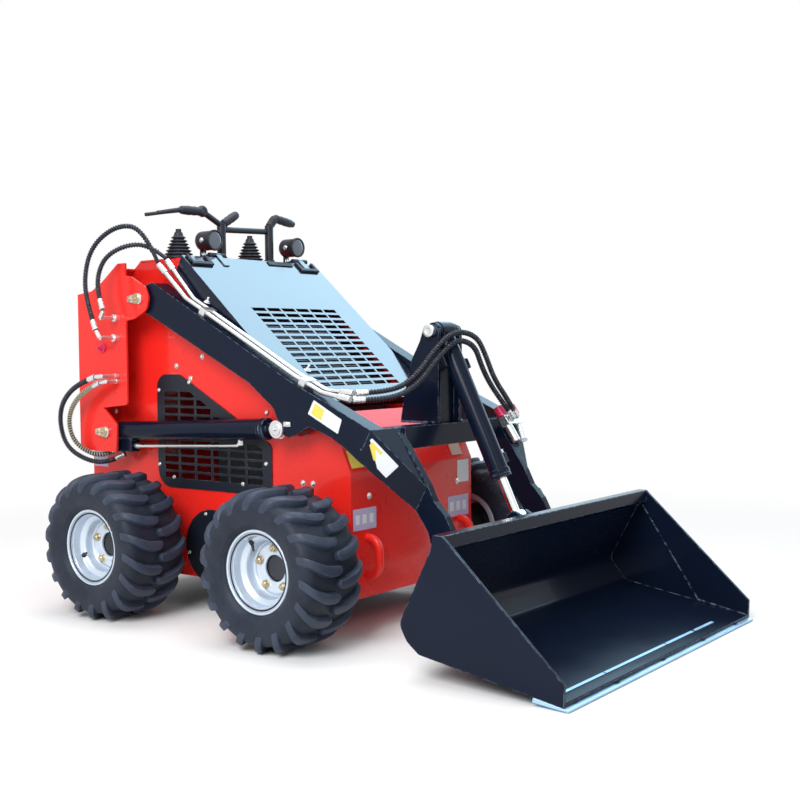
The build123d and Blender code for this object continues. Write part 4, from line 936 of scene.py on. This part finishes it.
# a boot's foot and neck, and between them its pleats: their number, pitch, taper and outline
BOOT_FOOT = [(0, 0.01), (0, 47), (6, 47), (8, 44)]
BOOT_NECK = [(73, 16), (78, 14.5), (84, 13), (86, 9.5), (95, 9), (96, 0.01)]
PLEATS, PLEAT_PITCH, PLEAT_TAPER, PLEAT_START, PLEAT_PEAK = 6, 10.6, 4.3, 8, 45.5
PLEAT = [(1.5, -8), (4.6, -1.2), (6.0, 0), (7.6, -1.4)]
# foot, run and stretch of each hand grip, and the two ends of the lever's blade
GRIPS = [((-164, 300, 1285), (-1, 0, -0.02), 1.0), ((184, 300, 1290), (94, 0, -14), 1.0),
         ((-66, 300, 1251), (72, 0, 42), 0.82), ((157, 300, 1258), (30, 0, 34), 0.5)]
BLADE, KNOB_AT = ((-255, 300, 1283), (-352, 300, 1266)), (-160, 300, 1286)


class LOADER_OT_controls(bpy.types.Operator):
    """Bellows, hand grips, a lever blade, post collars and work lamps on the deck"""
    bl_idname = "loader.controls"
    bl_label = "Controls and lamps"

    def execute(self, context):
        pleats = [(PLEAT_START + PLEAT_PITCH * i + up, PLEAT_PEAK - PLEAT_TAPER * i + out)
                  for i in range(PLEATS) for up, out in PLEAT]
        build("bellows", "rubber", "chassis", [
            (lathe, BOOT_FOOT + pleats + BOOT_NECK, (x, CONTROL_ROW, DECK_Z), (0, 0, 1), 56) for x in BOOTS],
            replaces=("lever_boots",))
        build("hand_grips", "rubber", "chassis", [
            *((lathe, [(reach * stretch, radius) for reach, radius in GRIP], base, run, 28)
              for base, run, stretch in GRIPS),
            (bar_between, *BLADE, 8.5, 6.5, 20), (lathe, LEVER_KNOB, KNOB_AT, (0, -1, 0), 28)])
        cans, lenses, fixings = bmesh.new(), bmesh.new(), bmesh.new()
        for x in LAMPS:
            front = (x, CONTROL_ROW - 58, LAMP_Z)
            lathe(cans, LAMP_RIM, front, (0, -1, 0), 48)
            lathe(cans, LAMP_BACK, (x, CONTROL_ROW - 4, LAMP_Z), (0, 1, 0), 48)
            lathe(lenses, LAMP_LENS, front, (0, -1, 0), 48)
            for side in (-1, 1):
                bolt(fixings, (x + side * 33, CONTROL_ROW - 30, LAMP_Z), (side, 0, 0), 6, 4)
            bolt(fixings, (x, CONTROL_ROW - 4.3, 1143), (0, -1, 0), 6, 4)
        piece("lamp_cans", cans, "plastic", "chassis")
        piece("lamp_lenses", lenses, "lamp_lens", "chassis")
        piece("lamp_bolts", fixings, "zinc", "chassis", bevel=0.4)
        build("post_collars", "plastic", "chassis", [
            (lathe, POST_COLLAR, (x, CONTROL_ROW, DECK_Z), (0, 0, 1), 36) for x in POSTS])
        return {"FINISHED"}


HOOD_TOP, HOOD_LIP, HOOD_SINK = (232, 1131), (-286, 673), (0.662, -0.749)
# slabs on the hood's slope: two sides, the upper and lower end as shares of it, and two depths
HANDLES, POST_WIDTH = ((-302, -212), (208, 298)), 12
HANDLE_BAR, HANDLE_POST = (0.052, 0.072, -9, -0.4), (0.004, 0.066, -8, -0.4)
LATCH = (66, 184, 0.006, 0.036, -4.5, -0.4)
COOLER, BAY_SCREEN = (-262, 128, 0.42, 0.925, 38, 64), (-296, 296, 0.12, 0.78, 66, 69)
COOLER_SIDES = [(-270, -262, 0.41, 0.935, 32, 64), (128, 136, 0.41, 0.935, 32, 64)]
CORE_FINS, FIN_START, FIN_PITCH, FIN_WIDTH, FIN_SIDES, FIN_DEPTHS = 34, 0.425, 0.0148, 0.0045, (-258, 124), (34, 38)


def on_hood(share, depth):
    """The (y, z) down the hood's slope, this deep below its face (or above it, where negative)."""
    return [top + (lip - top) * share + sink * depth for top, lip, sink in zip(HOOD_TOP, HOOD_LIP, HOOD_SINK)]


def slab_on_hood(mesh, x0, x1, high, low, over, under):
    """A slab that lies along the hood's slope between two shares of it and two depths."""
    corners = across(x0, x1, on_hood(high, under), on_hood(low, under))
    raised = grown_from(mesh, mesh.faces.new([mesh.verts.new(at(*corner)) for corner in corners]))
    bmesh.ops.translate(mesh, vec=at(0, *on_hood(0, over)) - at(0, *on_hood(0, under)), verts=raised)
    bmesh.ops.recalc_face_normals(mesh, faces=mesh.faces)


class LOADER_OT_hood_fittings(bpy.types.Operator):
    """Hood handles and latch, and the oil cooler seen through the slots"""
    bl_idname = "loader.hood_fittings"
    bl_label = "Hood fittings and cooler"

    def execute(self, context):
        handles = [LATCH]
        for x0, x1 in HANDLES:
            handles += [(x0, x1, *HANDLE_BAR), (x0, x0 + POST_WIDTH, *HANDLE_POST),
                        (x1 - POST_WIDTH, x1, *HANDLE_POST)]
        starts = [FIN_START + FIN_PITCH * i for i in range(CORE_FINS)]
        fins = [(*FIN_SIDES, start, start + FIN_WIDTH, *FIN_DEPTHS) for start in starts]
        for name, colour, body, slabs, edges in (
                ("hood_handles", "grille_black", "hood", handles, {"bevel": 3.0, "segments": 3}),
                ("bay_screen", "plastic", "chassis", [BAY_SCREEN], {}),
                ("cooler_core", "iron", "chassis", [COOLER], {}),
                ("cooler_fins", "core_grey", "chassis", fins + COOLER_SIDES, {})):
            build(name, colour, body, [(slab_on_hood, *slab) for slab in slabs], **edges)
        return {"FINISHED"}


TILT_RUN, TILT_GLAND_AT = (-0.4338, -0.9010), 450
LIFT_RUN, LIFT_GLAND_AT = (-0.99900, 0.04475), 672
TILT_GLAND = [(0, 29.2), (0, 31.5), (12, 31.5), (13, 30.5), (16, 30.5), (17, 31.2), (24, 31.2), (25.5, 29),
              (25.5, 16), (24, 14.4), (0, 14.4), (0, 29.2)]
LIFT_GLAND = [(0, 31.2), (0, 33), (10, 33), (11, 32), (14, 32), (15, 33), (22, 33), (24, 30.5), (24, 17),
              (22.5, 15.4), (0, 15.4), (0, 31.2)]
# the pieces of a lift tube's nuts: their two ends (y, z), two radii and sides
LIFT_TUBE_NUTS = [((428, 519), (412, 520), 9.5, 9.5, 6), ((412, 520), (400, 520.4), 7.2, 6.0, 20),
                  ((-55, 541), (-55, 556), 9.0, 9.0, 6)]
TILT_TUBE_NUTS = [(44, -606, 767, 14), (44, -734, 516, -14)]      # place, and length along the cylinder
WELD_BEADS, WELD_PITCH, WELD_START = 24, 5.7, (61.5, -578, 610.5)


class LOADER_OT_cylinder_fittings(bpy.types.Operator):
    """Gland rings, tube nuts and weld beads of the cylinders and the tower"""
    bl_idname = "loader.cylinder_fittings"
    bl_label = "Cylinder fittings"

    def execute(self, context):
        base = [top + run * TILT_GLAND_AT for top, run in zip(TILT_TOP, TILT_RUN)]
        build("tilt_gland", "black_paint", "lift_arms", [(lathe, TILT_GLAND, (0, *base), (0, *TILT_RUN), 48)])
        base = [foot + run * LIFT_GLAND_AT for foot, run in zip(LIFT_BASE, LIFT_RUN)]
        for side_name, side in SIDES.items():
            x, barrel = side * CYLINDER_X, "lift_barrel_" + side_name
            build("lift_gland_" + side_name, "black_paint", barrel, [
                (lathe, LIFT_GLAND, (x, *base), (0, *LIFT_RUN), 48)])
            build("lift_tube_nuts_" + side_name, "zinc", barrel, [
                (bar_between, (x, *start), (x, *end), *section) for start, end, *section in LIFT_TUBE_NUTS], bevel=0.5)
        build("tilt_tube_nuts", "zinc", "lift_arms", [
            (bar_between, (x, y, z), (x, y + TILT_RUN[0] * step, z + TILT_RUN[1] * step), 8.5, 8.5, 6)
            for x, y, z, step in TILT_TUBE_NUTS], bevel=0.5)
        x, y, z = WELD_START
        build("tower_welds", "black_paint", "lift_arms", [
            (bead, (side * x, y + WELD_PITCH * i, z), 4.0) for side in SIDES.values() for i in range(WELD_BEADS)])
        return {"FINISHED"}


EDGE_BOLTS = [(-500, -1277, 10.8), (-300, -1281, 10.2), (-40, -1281, 10.2), (219, -1281, 10.2), (450, -1281, 10.2)]
BUCKET_SEAMS = [((552, -937, 325), (552, -1123, 46), 46), ((552, -1123, 46), (552, -1278, 18), 26)]
LIP_WELDS, LIP_ENDS = [(-552, -290), (-284, 60), (66, 240), (252, 380)], ((-1246, 23.4), (-1237, 24.9))


class LOADER_OT_bucket_fittings(bpy.types.Operator):
    """Edge bolts, corner seams and the lip weld of the bucket"""
    bl_idname = "loader.bucket_fittings"
    bl_label = "Bucket fittings"

    def execute(self, context):
        build("edge_bolts", "grille_black", "bucket", [
            (bar_between, (x + step, y, z - 3), (x + step, y, z + 0.9), 6.5, 6.5, 20)
            for x, y, z in EDGE_BOLTS for step in (-5, 5)])
        spots = [Vector(start).lerp(Vector(stop), i / count) for start, stop, count in BUCKET_SEAMS
                 for i in range(count)]
        build("bucket_welds", "black_paint", "bucket", [
            (bead, (side * spot.x, spot.y, spot.z), 3.6) for side in SIDES.values() for spot in spots])
        build("lip_weld", "steel", "bucket", [
            (plate_on, across(x0, x1, *LIP_ENDS), 0.8, 0.5, 1.0) for x0, x1 in LIP_WELDS])
        return {"FINISHED"}


class LOADER_PT_panel(bpy.types.Panel):
    """The loader's settings and pieces"""
    bl_idname = "LOADER_PT_panel"
    bl_label = "Loader"
    bl_space_type = "VIEW_3D"
    bl_region_type = "UI"
    bl_category = "Loader"

    def draw(self, context):
        for name in LoaderSettings.__annotations__:
            self.layout.prop(context.scene.loader, name)
        for operator in OPERATORS:
            self.layout.operator(operator.bl_idname)


OPERATORS = (LOADER_OT_stage, LOADER_OT_finishes, LOADER_OT_hoses, LOADER_OT_wheels, LOADER_OT_fasteners,
             LOADER_OT_labels, LOADER_OT_controls, LOADER_OT_hood_fittings, LOADER_OT_cylinder_fittings,
             LOADER_OT_bucket_fittings)
CLASSES = (LoaderSettings, *OPERATORS, LOADER_PT_panel)


def register():
    for item in CLASSES:
        bpy.utils.register_class(item)
    bpy.types.Scene.loader = PointerProperty(type=LoaderSettings)


def unregister():
    del bpy.types.Scene.loader
    for item in reversed(CLASSES):
        bpy.utils.unregister_class(item)


def main():
    register()
    for operator in OPERATORS:
        family, action = operator.bl_idname.split(".")
        getattr(getattr(bpy.ops, family), action)()


if __name__ == "__main__":
    main()
